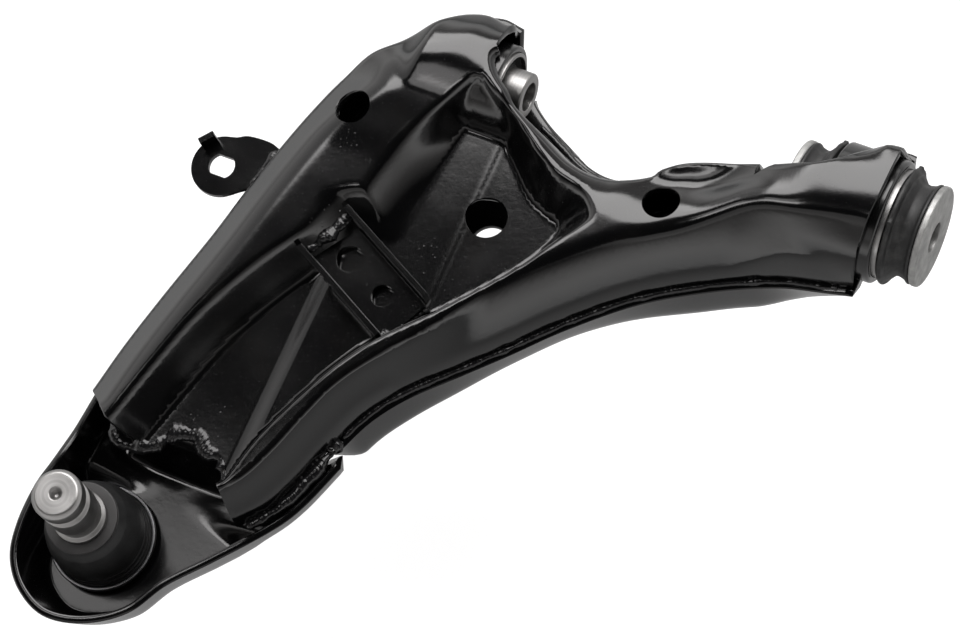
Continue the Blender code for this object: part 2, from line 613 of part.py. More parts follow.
def add_damper_bracket(paint, guide):
    """A U-shaped saddle welded across the channel, trimmed to the channel's own walls."""
    half, wall = BRACKET_WIDTH / 2, BRACKET_T
    profile = [(-half, BRACKET_TOP_Z), (-half, BRACKET_FLOOR_Z - wall), (half, BRACKET_FLOOR_Z - wall),
               (half, BRACKET_TOP_Z), (half - wall, BRACKET_TOP_Z), (half - wall, BRACKET_FLOOR_Z),
               (wall - half, BRACKET_FLOOR_Z), (wall - half, BRACKET_TOP_Z)]
    c, s = math.cos(BRACKET_ANGLE), math.sin(BRACKET_ANGLE)
    points = []
    for u in (-BRACKET_LENGTH / 2, BRACKET_LENGTH / 2):
        for v, z in profile:
            points.append((BRACKET_CENTRE[0] + u * c - v * s, BRACKET_CENTRE[1] + u * s + v * c, z))
    n = len(profile)
    faces = [list(range(n)), list(range(n, 2 * n))[::-1]]
    faces += [[i, i + n, (i + 1) % n + n, (i + 1) % n] for i in range(n)]
    bracket = add_object("damper_bracket", points, faces, paint)
    subtract(bracket, guide)
    for name, u, radius in (("hole_bracket_a", -14.5, 7.3), ("hole_bracket_b", 13.5, 6.0)):
        x, y = BRACKET_CENTRE[0] + u * c, BRACKET_CENTRE[1] + u * s
        subtract(bracket, cylinder_cutter(name, radius, 3, 16, (x, y, 0), "Z", 28))


def add_link_bracket(paint):
    """A flat tongue with a keyed hole and a folded anti-rotation tab."""
    cx, cy = LINK_CENTRE
    arc = [(cx + LINK_R * math.cos(t), cy + LINK_R * math.sin(t))
           for t in np.linspace(math.radians(100), math.radians(298), 24)]
    neck = spline([(-14.1, -107), (-9.5, -103.3), (-5.2, -100.5)], 3)
    far = spline([(1.2, -74.5), (-6, -72.6), (-18, -73.3), (-24, -76.2)], 3)
    outline = arc + [tuple(p) for p in np.vstack([neck, far])]
    plate = prism("link_bracket", outline, LINK_Z - LINK_T, LINK_Z, paint)
    key = [(cx + 7.3 * math.cos(t), cy + np.clip(7.3 * math.sin(t), -5.8, 5.8))
           for t in np.linspace(0, 2 * math.pi, 32, endpoint=False)]
    cutter = prism("hole_link", key, LINK_Z - 9, LINK_Z + 6, bpy.data.materials["cutter"])
    subtract(plate, cutter)
    a = math.radians(140)
    tx, ty = cx + (LINK_R - 2) * math.cos(a), cy + (LINK_R - 2) * math.sin(a)
    c, s = math.cos(a + math.pi / 2), math.sin(a + math.pi / 2)
    corners = [(4.5, 1.6), (-4.5, 1.6), (-4.5, -1.6), (4.5, -1.6)]
    tab = [(tx + u * c - v * s, ty + u * s + v * c) for u, v in corners]
    fold = prism("link_tab", tab, LINK_Z - 1, LINK_Z + 9, bpy.data.materials["cutter"])
    fold.hide_render = True
    fold.display_type = "WIRE"
    join = plate.modifiers.new("fold", "BOOLEAN")
    join.operation = "UNION"
    join.solver = "EXACT"
    join.object = fold


def main():
    clear_scene()
    material("cutter", (0.6, 0.2, 0.2), 0.0, 0.5)
    paint = material("black_e_coat", (0.018, 0.018, 0.020), 0.0, 0.22)
    steel = material("machined_steel", (0.62, 0.61, 0.59), 1.0, 0.32)
    plate = material("zinc_plate", (0.66, 0.66, 0.64), 1.0, 0.42)
    rubber = material("bush_rubber", (0.035, 0.035, 0.037), 0.0, 0.62)
    plastic = material("seat_polymer", (0.75, 0.73, 0.66), 0.0, 0.45)
    guide = add_shells(paint)
    add_front_bush(paint, steel, rubber)
    add_rear_bush(paint, steel, plate, rubber)
    add_ball_joint(paint, steel, plastic, rubber)
    add_damper_bracket(paint, guide)
    add_link_bracket(paint)


main()
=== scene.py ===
"""Finished look of the pressed-steel suspension control arm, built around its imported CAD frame.

Shapes are made in a working frame in millimetres: +X along the pivot axis from the front bush to the
rear bush, +Y inboard, +Z up, Z = 0 on the pivot axis. SHIFT, taken from the CAD nodes, carries them
to the row frame.
"""

import math

import bmesh
import bpy
import numpy as np
from mathutils import Matrix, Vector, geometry


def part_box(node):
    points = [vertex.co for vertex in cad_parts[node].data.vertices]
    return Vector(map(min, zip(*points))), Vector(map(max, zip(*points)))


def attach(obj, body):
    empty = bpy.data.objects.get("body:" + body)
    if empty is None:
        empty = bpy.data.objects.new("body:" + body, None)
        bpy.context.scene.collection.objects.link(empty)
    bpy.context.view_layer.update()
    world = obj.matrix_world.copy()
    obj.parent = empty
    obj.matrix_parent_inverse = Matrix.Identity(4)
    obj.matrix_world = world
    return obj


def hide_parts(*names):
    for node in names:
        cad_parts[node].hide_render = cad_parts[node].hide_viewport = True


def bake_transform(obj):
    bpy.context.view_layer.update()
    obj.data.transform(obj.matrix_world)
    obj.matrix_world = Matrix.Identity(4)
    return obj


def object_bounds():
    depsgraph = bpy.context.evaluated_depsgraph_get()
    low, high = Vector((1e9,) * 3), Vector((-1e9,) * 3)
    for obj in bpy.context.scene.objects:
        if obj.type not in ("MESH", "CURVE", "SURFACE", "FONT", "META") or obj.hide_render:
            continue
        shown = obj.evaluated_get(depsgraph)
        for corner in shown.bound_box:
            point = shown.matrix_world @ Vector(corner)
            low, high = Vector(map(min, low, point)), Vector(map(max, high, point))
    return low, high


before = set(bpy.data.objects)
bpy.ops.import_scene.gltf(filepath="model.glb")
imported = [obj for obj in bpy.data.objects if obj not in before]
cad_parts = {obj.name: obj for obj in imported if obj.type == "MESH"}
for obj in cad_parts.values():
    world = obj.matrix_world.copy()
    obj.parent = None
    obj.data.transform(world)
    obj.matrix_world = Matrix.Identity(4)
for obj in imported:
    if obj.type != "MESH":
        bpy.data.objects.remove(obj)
cad_low, cad_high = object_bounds()

MM = 0.001

# Pressed sheet
SHEET = 4.0
SEAM_Z = -6.5
TRAY_EDGE_Z = -9.0
CREST_Z = 26.0
FLOOR_Z = 2.0
TRAY_FLOOR_Z = -36.0
TRAY_FLARE = 0.24
TRAY_WAIST = (172.0, -118.0)
CUP_RIM_Z = -6.0
CUP_FLOOR_Z = -36.0
CUP_LAND_Z = -4.4
LEDGE = 4.3
EYE_LIFT = 0.7
TRAY_END_Y = -213.8
CUP_END_Y = -218.7
FINE = 2.0

# Front bush
FRONT_TUBE_R = 24.0
FRONT_TUBE_X = (62.0, 103.0)
FRONT_CLEAR_R = 14.0
FRONT_SLEEVE_R = 20.7
FRONT_SLEEVE_X = (63.5, 104.5)
FRONT_INNER_R = 12.75
FRONT_BORE_R = 7.9
FRONT_INNER_X = (52.5, 115.5)

# Rear bush
REAR_TUBE_R = 33.0
REAR_TUBE_X = (289.0, 323.0)
REAR_SLEEVE_R = 29.0
REAR_CENTRE_X = 307.0
REAR_PLATE_X = (268.0, 346.0)
REAR_PLATE_R = 27.0
REAR_PLATE_T = 4.0
REAR_LIP_R = 31.0
REAR_WAIST_R = 24.5
REAR_INNER_R = 14.0
REAR_BORE_R = 8.25

# Ball joint
BALL_X, BALL_Y, BALL_Z = -7.5, -299.0, -44.0
BALL_R = 15.0
STUD_R = 13.5
STUD_TOP_Z = 53.0
BOOT_TOP_Z = 9.0
BOOT_TOP_R = 19.6
BOOT_BASE_R = 27.0
BOOT_SPLIT_Z = -20.0
HOUSING_R = 24.0

# Brackets
BRACKET_CENTRE = (79.5, -126.0)
BRACKET_ANGLE = math.radians(-26.6)
BRACKET_WIDTH = 35.0
BRACKET_LENGTH = 62.0
BRACKET_T = 3.0
BRACKET_FLOOR_Z = 10.0
BRACKET_TOP_Z = 23.0
LINK_CENTRE = (-25.0, -94.0)
LINK_R = 17.0
LINK_T = 3.0
LINK_Z = 3.0

SEGMENTS = 112

# Plan outlines of the sheet parts
RIGHT_SIDE = [(316, -38), (295, -42), (276, -47), (247, -60), (212, -81), (181, -108), (160, -130),
              (140, -150), (118, -172), (104, -192), (96, -212), (88, -236), (79, -256), (67, -271)]
OUTER_END = [(56, -257), (49, -243), (37, -237), (26, -232), (15, -237), (4, -248), (-9, -249),
             (-22, -241)]
LEFT_SIDE = [(-35.5, -233), (-30.5, -205), (-22.8, -172), (-12.8, -133), (-6.5, -104), (1, -74),
             (8, -50), (16, -28), (26, -9), (40, 4), (55, 18), (69, 31), (81, 35), (93, 33.5)]
INBOARD_SIDE = [(103, 6), (107.5, 0), (121, -9), (138, -17.5), (158, -27), (175, -29), (190, -24),
                (212, -9), (243, 1), (266, 7), (284, 14), (299, 27), (307, 36), (318, 38)]
FLOOR_LEFT = [(2, -252), (12, -216), (22, -184), (38, -150), (54, -126), (66, -111), (84, -99),
              (88, -70), (92, -35), (95, -13)]
FLOOR_RIGHT = [(97, -13), (122, -36), (139, -52), (150, -58), (162, -63), (158, -80), (146, -98),
               (124, -124), (98, -152), (84, -172), (74, -192), (61, -224), (54, -252)]
CUP_RIM = [(101, -218.7), (90.5, -247.5), (78.5, -268), (60, -290.5), (42, -311), (30, -331), (11, -344),
           (-9, -348), (-26, -341), (-37.5, -328), (-42, -311), (-42.2, -290), (-38.7, -270), (-35, -232),
           (-34, -218.7)]
TOP_HOLES = [((37, -45), 10.0), ((212, -37), 10.0), ((123, -71), 11.3)]
LOWER_HOLE = ((118, -74), 11.3)

# Camera, in the working frame
CAMERA_AT = (694.14, -544.63, 1681.51)
CAMERA_LENS = 131.25

# Floor brightness as mirrored in the paint, and as the camera sees it
FLOOR_GLOW = (0.22, 0.9)


def middle(node):
    low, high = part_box(node)
    return (np.array(low) + np.array(high)) / 2 / MM


SHIFT = np.array([middle("front_bush_inner_sleeve")[0] - sum(FRONT_INNER_X) / 2,
                  middle("front_bush_inner_sleeve")[1], middle("front_bush_inner_sleeve")[2]])
BALL = np.array([BALL_X, BALL_Y, BALL_Z])


def row(point):
    """A working-frame point, in the row frame in metres."""
    return tuple((np.asarray(point, float) + SHIFT) * MM)


# ---- curves and fields ----------------------------------------------------------------------


def resample(dense, step):
    run = np.r_[0, np.cumsum(np.linalg.norm(np.diff(dense, axis=0), axis=1))]
    at = np.linspace(0, run[-1], max(2, int(round(run[-1] / step))) + 1)
    return np.stack([np.interp(at, run, dense[:, k]) for k in range(dense.shape[1])], 1)


def spline(points, step):
    """Evenly spaced points on a Catmull-Rom curve through the given ones."""
    pts = np.asarray(points, float)
    ext = np.vstack([2 * pts[:1] - pts[1:2], pts, 2 * pts[-1:] - pts[-2:-1]])
    rows = []
    for i in range(len(ext) - 3):
        p0, p1, p2, p3 = ext[i : i + 4]
        t = np.linspace(0, 1, 24, endpoint=False)[:, None]
        rows.append(0.5 * (2 * p1 + (p2 - p0) * t + (2 * p0 - 5 * p1 + 4 * p2 - p3) * t**2
                           + (3 * p1 - p0 - 3 * p2 + p3) * t**3))
    return resample(np.vstack(rows + [pts[-1:]]), step)


def distance(points, line):
    """Distance in plan from each point to a polyline."""
    best = np.full(len(points), np.inf)
    for a, b in zip(line[:-1], line[1:]):
        ab = b - a
        t = np.clip(((points - a) @ ab) / (ab @ ab), 0, 1)
        best = np.minimum(best, np.linalg.norm(points - a - t[:, None] * ab, axis=1))
    return best


def inside(points, loop):
    """Whether each point lies inside a closed loop."""
    x, y = points[:, 0], points[:, 1]
    found = np.zeros(len(points), bool)
    for (x0, y0), (x1, y1) in zip(loop, np.roll(loop, -1, axis=0)):
        if y0 == y1:
            continue
        crosses = (y0 > y) != (y1 > y)
        found ^= crosses & (x < (x1 - x0) * (y - y0) / (y1 - y0) + x0)
    return found


def smooth_min(a, b, radius):
    h = np.maximum(radius - np.abs(a - b), 0) / radius
    return np.minimum(a, b) - h * h * radius / 4


def smooth_max(a, b, radius):
    return -smooth_min(-a, -b, radius)


def ramp(value, low, high):
    t = np.clip((value - low) / (high - low), 0, 1)
    return t * t * (3 - 2 * t)


def mix(a, b, t):
    return a + (b - a) * t


SIDE_R = spline(RIGHT_SIDE, 3)
SIDE_L = spline(LEFT_SIDE, 3)
SIDE_I = spline(INBOARD_SIDE, 3)
FOOT_L = spline(FLOOR_LEFT, 3)
FOOT_R = spline(FLOOR_RIGHT, 3)
FLOOR_LOOP = np.vstack([FOOT_L, FOOT_R])
CUP_WALL = spline(CUP_RIM, 3)
OUTLINE = np.vstack([SIDE_R, [(60, -310), (-35, -310)], SIDE_L, [(130, 35), (130, 14)], SIDE_I,
                     [(350, 38), (350, -38)]])
CUP_OUTLINE = np.vstack([CUP_WALL, [(-34, -190), (98, -190)]])


def signed(points, outline):
    """+1 inside an outline that runs on past its open ends, -1 outside."""
    return np.where(inside(points, outline), 1.0, -1.0)


def channel_rise(points):
    """Height of the channel and recess walls above their floor."""
    dl, dr = distance(points, FOOT_L), distance(points, FOOT_R)
    wl, wr = 1 / (dl + 0.5) ** 2, 1 / (dr + 0.5) ** 2
    flank = 24 / np.clip(2.5 + 0.4 * (-13 - points[:, 1]), 2.5, 34)
    slope_l = mix(1.45, flank, ramp(points[:, 1], -120, -92))
    slope_r = mix(3.0, 1.15, ramp(points[:, 1], -88, -55)) + 0.85 * ramp(points[:, 1], -40, -12)
    slope = (wl * slope_l + wr * slope_r) / (wl + wr)
    rise = slope * np.minimum(dl, dr)
    return np.where(inside(points, FLOOR_LOOP), 0, rise)


def upper_height(points):
    """Height of the upper shell's top surface."""
    x, y = points[:, 0], points[:, 1]
    sign = signed(points, OUTLINE)
    dr, dl, di = (sign * distance(points, side) for side in (SIDE_R, SIDE_L, SIDE_I))
    rear, eye, boss = ramp(x, 222, 268), ramp(x, 250, 285), 1 - ramp(x, 112, 142)
    bevel = smooth_min(-2 + 1.6 * dr, 14 + 1.05 * (dr - 10), 5)
    wide = smooth_min(SEAM_Z + 5 * dr, mix(bevel, 9 + 1.2 * dr, eye), 4)
    right = mix(SEAM_Z + 3.1 * dr, wide, ramp(x, 100, 150))
    left = smooth_min(SEAM_Z + 5.2 * dl, 14 + 4 * ramp(y, -30, -5) + 0.6 * (dl - 4), 5)
    base = mix(18 - 7 * ramp(x, 185, 215), 27, np.maximum(boss, rear)) + 4 * eye
    inboard = smooth_min(SEAM_Z + 5 * di, base + mix(0.53, 0.4, rear) * (di - 4), 7)
    crest = CREST_Z + 3 * (1 - ramp(x, 90, 140)) * ramp(y, -70, -25) + 9 * rear + 3 * eye
    top = smooth_min(smooth_min(right, left, 6), inboard, 9)
    top = smooth_min(top, crest, 5)
    top = smooth_min(top, FLOOR_Z + channel_rise(points), 4)
    front_fade = 20 * (1 - ramp(x, 42, 62)) + 60 * ramp(x, 110, 141)
    cover = np.sqrt(np.maximum((FRONT_TUBE_R + SHEET + EYE_LIFT) ** 2 - y**2, 0))
    top = smooth_max(top, cover - front_fade, mix(17, 9, ramp(x, 100, 130)))
    rear_fade = 16 * (1 - ramp(x, 236, 290))
    cover = np.sqrt(np.maximum((REAR_TUBE_R + SHEET + EYE_LIFT) ** 2 - y**2, 0))
    top = smooth_max(top, np.where(x > 200, cover - rear_fade, -60), 6)
    edge = np.where(sign > 0, np.minimum(np.minimum(dr, dl), di), np.maximum(np.maximum(dr, dl), di))
    return np.where(sign > 0, np.minimum(top, SEAM_Z + 9 * edge), SEAM_Z + 9 * edge)


def tray_height(points):
    """Height of the lower shell's inner surface: a flat floor with steep walls on all sides."""
    d = np.minimum(np.minimum(distance(points, SIDE_R), distance(points, SIDE_L)),
                   distance(points, SIDE_I))
    d = signed(points, OUTLINE) * d - (SHEET - LEDGE)
    d = np.minimum(d, 0.5 * (points[:, 1] - TRAY_END_Y))
    x, y = points[:, 0], points[:, 1]
    rise = 24 * (ramp(x, 282, 318) * ramp(-y, 4, 30) + ramp(x, 60, 84) * ramp(y, 8, 26) * (x < 200))
    return smooth_max(TRAY_EDGE_Z - 6 * d, TRAY_FLOOR_Z + rise, 9)


def flare(points):
    """Leans the lower shell's outboard wall outwards towards its foot, except at its waist."""
    flat = points[:, :2]
    here = SPAN(flat)
    push = TRAY_FLARE * np.maximum(TRAY_EDGE_Z - points[:, 2], 0) * (1 - ramp(here, 6, 26))
    push *= ramp(points[:, 1], TRAY_END_Y, TRAY_END_Y + 14) * (1 - ramp(points[:, 0], 262, 296))
    push *= ramp(np.linalg.norm(flat - TRAY_WAIST, axis=1), 10, 90)
    moved = points.copy()
    for k, shift in enumerate(((1.0, 0), (0, 1.0))):
        moved[:, k] -= push * np.clip((SPAN(flat + shift) - SPAN(flat - shift)) / 2, -1, 1)
    return moved


def cup_height(points):
    """Height of the outer-end cup's inner surface."""
    d = distance(points, CUP_WALL) * signed(points, CUP_OUTLINE)
    y = points[:, 1]
    inner = ramp(y, -306, -262)
    rim = mix(CUP_RIM_Z, TRAY_EDGE_Z, ramp(y, -276, -250))
    steep = rim - 4.5 * d
    gentle = mix(-70, -25, inner) - 0.38 * d
    low = smooth_max(smooth_max(steep, gentle, 5), np.full(len(points), CUP_FLOOR_Z), 7)
    out = np.where(inside(points, FLOOR_LOOP), 0, np.minimum(distance(points, FOOT_L),
                                                             distance(points, FOOT_R)))
    climb = CUP_FLOOR_Z + 2.6 * (y + 252)
    land = smooth_min(climb, CUP_LAND_Z - 1.6 * out, 5)
    return smooth_max(low, land, 5)


class Field:
    """A height function sampled on a fine grid and softened, as a press leaves no sharp creases."""

    def __init__(self, height, low, high, step=1.0, soft=1.1):
        self.low, self.step = np.array(low, float), step
        nx, ny = (int((high[k] - low[k]) / step) + 1 for k in range(2))
        gx, gy = np.meshgrid(low[0] + step * np.arange(nx), low[1] + step * np.arange(ny),
                             indexing="ij")
        grid = height(np.column_stack([gx.ravel(), gy.ravel()])).reshape(nx, ny)
        reach = int(math.ceil(3 * soft / step))
        weight = np.exp(-0.5 * (np.arange(-reach, reach + 1) * step / soft) ** 2)
        weight /= weight.sum()
        for axis in (0, 1):
            pad = [(reach, reach) if k == axis else (0, 0) for k in range(2)]
            wide = np.pad(grid, pad, mode="reflect", reflect_type="odd")
            size = grid.shape[axis]
            grid = sum(w * np.take(wide, range(k, k + size), axis) for k, w in enumerate(weight))
        self.grid = grid

    def __call__(self, points):
        """Bicubic (Catmull-Rom) value at each point."""
        at = (np.asarray(points, float) - self.low) / self.step
        base = np.clip(np.floor(at).astype(int), 1, np.array(self.grid.shape) - 3)
        t = at - base
        weights = [np.stack([-0.5 * u + u**2 - 0.5 * u**3, 1 - 2.5 * u**2 + 1.5 * u**3,
                             0.5 * u + 2 * u**2 - 1.5 * u**3, -0.5 * u**2 + 0.5 * u**3])
                   for u in t.T]
        total = np.zeros(len(at))
        for i in range(4):
            for j in range(4):
                cell = self.grid[base[:, 0] + i - 1, base[:, 1] + j - 1]
                total += weights[0][i] * weights[1][j] * cell
        return total


UPPER = Field(upper_height, (-45, -285), (330, 50))
TRAY = Field(tray_height, (-45, -230), (335, 55), step=1.5, soft=1.5)
SPAN = Field(lambda p: signed(p, OUTLINE) * distance(p, SIDE_R), (-60, -240), (350, 70), 1.5, 1.5)
CUP = Field(cup_height, (-60, -362), (112, -205))


# ---- mesh makers ----------------------------------------------------------------------------


def add_object(name, points, faces, look, body, replaces=(), sharp=35):
    """A closed mesh from working-frame points, riding on a body and standing for CAD nodes."""
    mesh = bpy.data.meshes.new(name)
    mesh.from_pydata([row(p) for p in points], [], [tuple(int(i) for i in f) for f in faces])
    mesh.materials.append(look)
    obj = bpy.data.objects.new(name, mesh)
    bpy.context.scene.collection.objects.link(obj)
    clean = bmesh.new()
    clean.from_mesh(mesh)
    bmesh.ops.recalc_face_normals(clean, faces=clean.faces)
    clean.to_mesh(mesh)
    clean.free()
    mesh.shade_smooth()
    mesh.set_sharp_from_angle(angle=math.radians(sharp))
    if body:
        settle(obj, body, replaces)
    return obj


def settle(obj, body, replaces=()):
    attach(obj, body)
    if replaces:
        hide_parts(*replaces)


def inward(loop):
    """Unit normals of a closed loop, pointing inside it."""
    along = np.roll(loop, -1, axis=0) - np.roll(loop, 1, axis=0)
    normal = np.stack([-along[:, 1], along[:, 0]], 1)
    normal /= np.linalg.norm(normal, axis=1)[:, None]
    area = np.sum(loop[:, 0] * np.roll(loop[:, 1], -1) - np.roll(loop[:, 0], -1) * loop[:, 1])
    return normal * np.sign(area)


def circle(centre, radius, count):
    turn = np.arange(count) * 2 * math.pi / count
    return np.stack([centre[0] + radius * np.cos(turn), centre[1] + radius * np.sin(turn)], 1)


def keep_clear(points, rows, gap):
    """The points that stand at least gap away from every row point."""
    far = np.ones(len(points), bool)
    for start in range(0, len(points), 4000):
        part = points[start : start + 4000]
        near = np.linalg.norm(part[:, None] - rows[None], axis=2).min(axis=1)
        far[start : start + 4000] = near > gap
    return points[far]


def outside(points, solids):
    """How far each point stands outside a set of cylinders about the pivot axis."""
    radial = np.linalg.norm(points[:, 1:], axis=1)
    gap = np.full(len(points), np.inf)
    for radius, x0, x1 in solids:
        own = np.maximum(np.maximum(radial - radius, points[:, 0] - x1), x0 - points[:, 0])
        gap = np.minimum(gap, own)
    return gap


def clip(points, faces, keep):
    """The part of a triangle mesh where keep is positive, cut along the zero line."""
    keep = np.where(np.abs(keep) < 1e-4, 1e-4, keep)
    new, made, out = list(points), {}, []

    def crossing(a, b):
        key = (min(a, b), max(a, b))
        if key not in made:
            t = keep[key[0]] / (keep[key[0]] - keep[key[1]])
            made[key] = len(new)
            new.append(points[key[0]] * (1 - t) + points[key[1]] * t)
        return made[key]

    positive = keep > 0
    for face in faces.tolist():
        ring_ = []
        for a, b in zip(face, face[1:] + face[:1]):
            if positive[a]:
                ring_.append(a)
            if positive[a] != positive[b]:
                ring_.append(crossing(a, b))
        out += [[ring_[0], ring_[i], ring_[i + 1]] for i in range(1, len(ring_) - 1)]
    used, out = np.unique(np.array(out), return_inverse=True)
    return np.array(new)[used], out.reshape(-1, 3)


def sheet_mesh(loop, height, holes, lines, offsets, step, thick, solids=()):
    """Vertices and faces of a height field over a loop with holes, thickened with rolled rims."""
    bounds = [loop] + [circle(c, r, 44) for c, r in holes]
    edges, start = [], 0
    for bound in bounds:
        n = len(bound)
        edges += [(start + i, start + (i + 1) % n) for i in range(n)]
        start += n
    rows = np.vstack(bounds)
    normal = inward(loop)
    closed = np.vstack([loop, loop[:1]])
    for offset in offsets:
        line = loop + normal * offset
        line = line[inside(line, loop) & (distance(line, closed) > 0.96 * offset)]
        rows = np.vstack([rows, keep_clear(line, rows, 0.25 * min(step, offset))])
    for centre, radius in holes:
        for grow in (0.6, 1.3, 2.2, 3.4):
            rows = np.vstack([rows, keep_clear(circle(centre, radius + grow, 44), rows, 0.4)])
    for line in lines:
        line = line[inside(line, loop)]
        rows = np.vstack([rows, keep_clear(line, rows, 0.4 * step)])
    low, high = loop.min(axis=0), loop.max(axis=0)
    grid = []
    for j, gy in enumerate(np.arange(low[1], high[1], step * 0.87)):
        gx = np.arange(low[0] + (j % 2) * step / 2, high[0], step)
        grid.append(np.stack([gx, np.full(len(gx), gy)], 1))
    grid = np.vstack(grid)
    rows = np.vstack([rows, keep_clear(grid[inside(grid, loop)], rows, 0.6 * step)])
    made = geometry.delaunay_2d_cdt([tuple(p) for p in rows], edges, [], 0, 1e-5)
    flat = np.array([tuple(v) for v in made[0]])
    faces = np.array([f for f in made[2]])
    centre = flat[faces].mean(axis=1)
    keep = inside(centre, loop)
    for c, r in holes:
        keep &= np.linalg.norm(centre - np.array(c), axis=1) > r * 0.999
    faces = faces[keep]
    used, faces = np.unique(faces, return_inverse=True)
    flat, faces = flat[used], faces.reshape(-1, 3)
    top = np.column_stack([flat, height(flat)])
    if solids:
        top, faces = clip(top, faces, outside(top, solids))
    return thicken(top, faces, thick, height)


def slope_normals(top, height, reach=0.6):
    """Unit normals of a height function at points that lie on it."""
    flat = top[:, :2]
    rise = [height(flat + shift) - height(flat - shift) for shift in ((reach, 0), (0, reach))]
    out = np.column_stack([-rise[0], -rise[1], np.full(len(top), 2 * reach)])
    return out / np.linalg.norm(out, axis=1)[:, None]


def smooth_normals(top, faces):
    a, b, c = (top[faces[:, k]] for k in range(3))
    face_normal = np.cross(b - a, c - a)
    flip = face_normal[:, 2] < 0
    face_normal[flip] *= -1
    out = np.zeros_like(top)
    for k in range(3):
        np.add.at(out, faces[:, k], face_normal)
    return out / np.linalg.norm(out, axis=1)[:, None]


def open_rims(faces):
    """Directed edges that only one face uses."""
    sides = np.vstack([faces[:, [0, 1]], faces[:, [1, 2]], faces[:, [2, 0]]])
    seen = {(int(a), int(b)) for a, b in sides}
    return sorted((a, b) for a, b in seen if (b, a) not in seen)


def thicken(top, faces, thick, height):
    """The top surface, its offset underside and a rounded rim between them."""
    normal = smooth_normals(top, faces) if height is not TRAY else slope_normals(top, height)
    n = len(top)
    rim = open_rims(faces)
    after = {a: b for a, b in rim}
    before = {b: a for a, b in rim}
    order = sorted(after)
    index = {v: i for i, v in enumerate(order)}
    ahead = np.array([top[after[v]] - top[before[v]] for v in order])
    out = np.cross(ahead, normal[order])
    out /= np.linalg.norm(out, axis=1)[:, None]
    layers = [(0.12, 0.35), (0.3, 0.55), (0.7, 0.55), (0.88, 0.35)]
    points = [top, top - thick * normal]
    for share, bulge in layers:
        points.append(top[order] - thick * share * normal[order] + out * bulge)
    body = [list(f) for f in faces] + [[i + n for i in reversed(f)] for f in faces.tolist()]
    m = len(order)
    for a, b in rim:
        ia, ib = index[a], index[b]
        column = [(b, a)] + [(2 * n + k * m + ib, 2 * n + k * m + ia) for k in range(4)]
        column.append((b + n, a + n))
        for (b0, a0), (b1, a1) in zip(column, column[1:]):
            body.append([b0, a0, a1, b1])
    return np.vstack(points), body


def sheet(name, loop, height, look, node, holes=(), lines=(), offsets=(), step=FINE, solids=(),
          reshape=None):
    points, faces = sheet_mesh(loop, height, holes, lines, offsets, step, SHEET, solids)
    points = reshape(points) if reshape else points
    obj = add_object(name, points, faces, look, None, sharp=40)
    if not reshape:
        shade_from_field(obj, height)
    settle(obj, "arm", (node,))
    return obj


def carve(obj, cutter, operation="DIFFERENCE"):
    """Applies an exact Boolean straight away."""
    cut = obj.modifiers.new("cut", "BOOLEAN")
    cut.operation = operation
    cut.solver = "EXACT"
    cut.object = cutter
    made = bpy.data.meshes.new_from_object(
        obj.evaluated_get(bpy.context.evaluated_depsgraph_get()))
    obj.modifiers.clear()
    obj.data = made


def shade_from_field(obj, height):
    """Corner normals of the top surface from the height field's own slope."""
    mesh = obj.data
    n = len(mesh.vertices)
    co = np.zeros(n * 3)
    mesh.vertices.foreach_get("co", co)
    work = co.reshape(-1, 3) / MM - SHIFT
    flat = work[:, :2]
    base = height(flat)
    on_top = np.abs(work[:, 2] - base) < 0.02
    eps = 0.15
    dx = (height(flat + (eps, 0)) - height(flat - (eps, 0))) / (2 * eps)
    dy = (height(flat + (0, eps)) - height(flat - (0, eps))) / (2 * eps)
    slope = np.column_stack([-dx, -dy, np.ones(n)])
    slope /= np.linalg.norm(slope, axis=1)[:, None]
    corners = np.zeros(len(mesh.loops) * 3)
    mesh.corner_normals.foreach_get("vector", corners)
    corners = corners.reshape(-1, 3)
    vert = np.zeros(len(mesh.loops), int)
    mesh.loops.foreach_get("vertex_index", vert)
    start = np.zeros(len(mesh.polygons), int)
    total = np.zeros(len(mesh.polygons), int)
    mesh.polygons.foreach_get("loop_start", start)
    mesh.polygons.foreach_get("loop_total", total)
    face_of = np.repeat(np.arange(len(start)), total)
    whole = np.ones(len(start), bool)
    np.logical_and.at(whole, face_of, on_top[vert])
    use = whole[face_of]
    corners[use] = slope[vert[use]]
    mesh.normals_split_custom_set([tuple(c) for c in corners])


def soften(profile, radius, steps=3):
    """The closed profile with its corners rounded; points on the axis stay."""
    pts = np.asarray(profile, float)
    out = []
    for i, p in enumerate(pts):
        if p[0] < 1e-6:
            out.append(p)
            continue
        q, r = pts[i - 1], pts[(i + 1) % len(pts)]
        a = p + (q - p) * min(radius / max(np.linalg.norm(q - p), 1e-9), 0.45)
        b = p + (r - p) * min(radius / max(np.linalg.norm(r - p), 1e-9), 0.45)
        for t in np.linspace(0, 1, steps + 1):
            out.append((1 - t) ** 2 * a + 2 * t * (1 - t) * p + t * t * b)
    return [tuple(p) for p in out]


def turned_mesh(profile, centre, axis, segments, wobble=None):
    """A closed body of revolution from a closed (radius, along) profile."""
    rings, points, faces = [], [], []
    for radius, along in profile:
        if radius < 1e-6:
            rings.append([len(points)])
            points.append((0, 0, along))
            continue
        rings.append(list(range(len(points), len(points) + segments)))
        for k in range(segments):
            turn = 2 * math.pi * k / segments
            r, s = (radius, along) if wobble is None else wobble(radius, along, turn)
            points.append((r * math.cos(turn), r * math.sin(turn), s))
    for a, b in zip(rings, rings[1:] + rings[:1]):
        if len(a) == 1 and len(b) == 1:
            continue
        for k in range(segments):
            quad = [a[k % len(a)], a[(k + 1) % len(a)], b[(k + 1) % len(b)], b[k % len(b)]]
            faces.append(list(dict.fromkeys(quad)))
    points = np.array(points, float)
    if axis == "X":
        points = points[:, [2, 0, 1]]
    return points + np.asarray(centre, float), faces


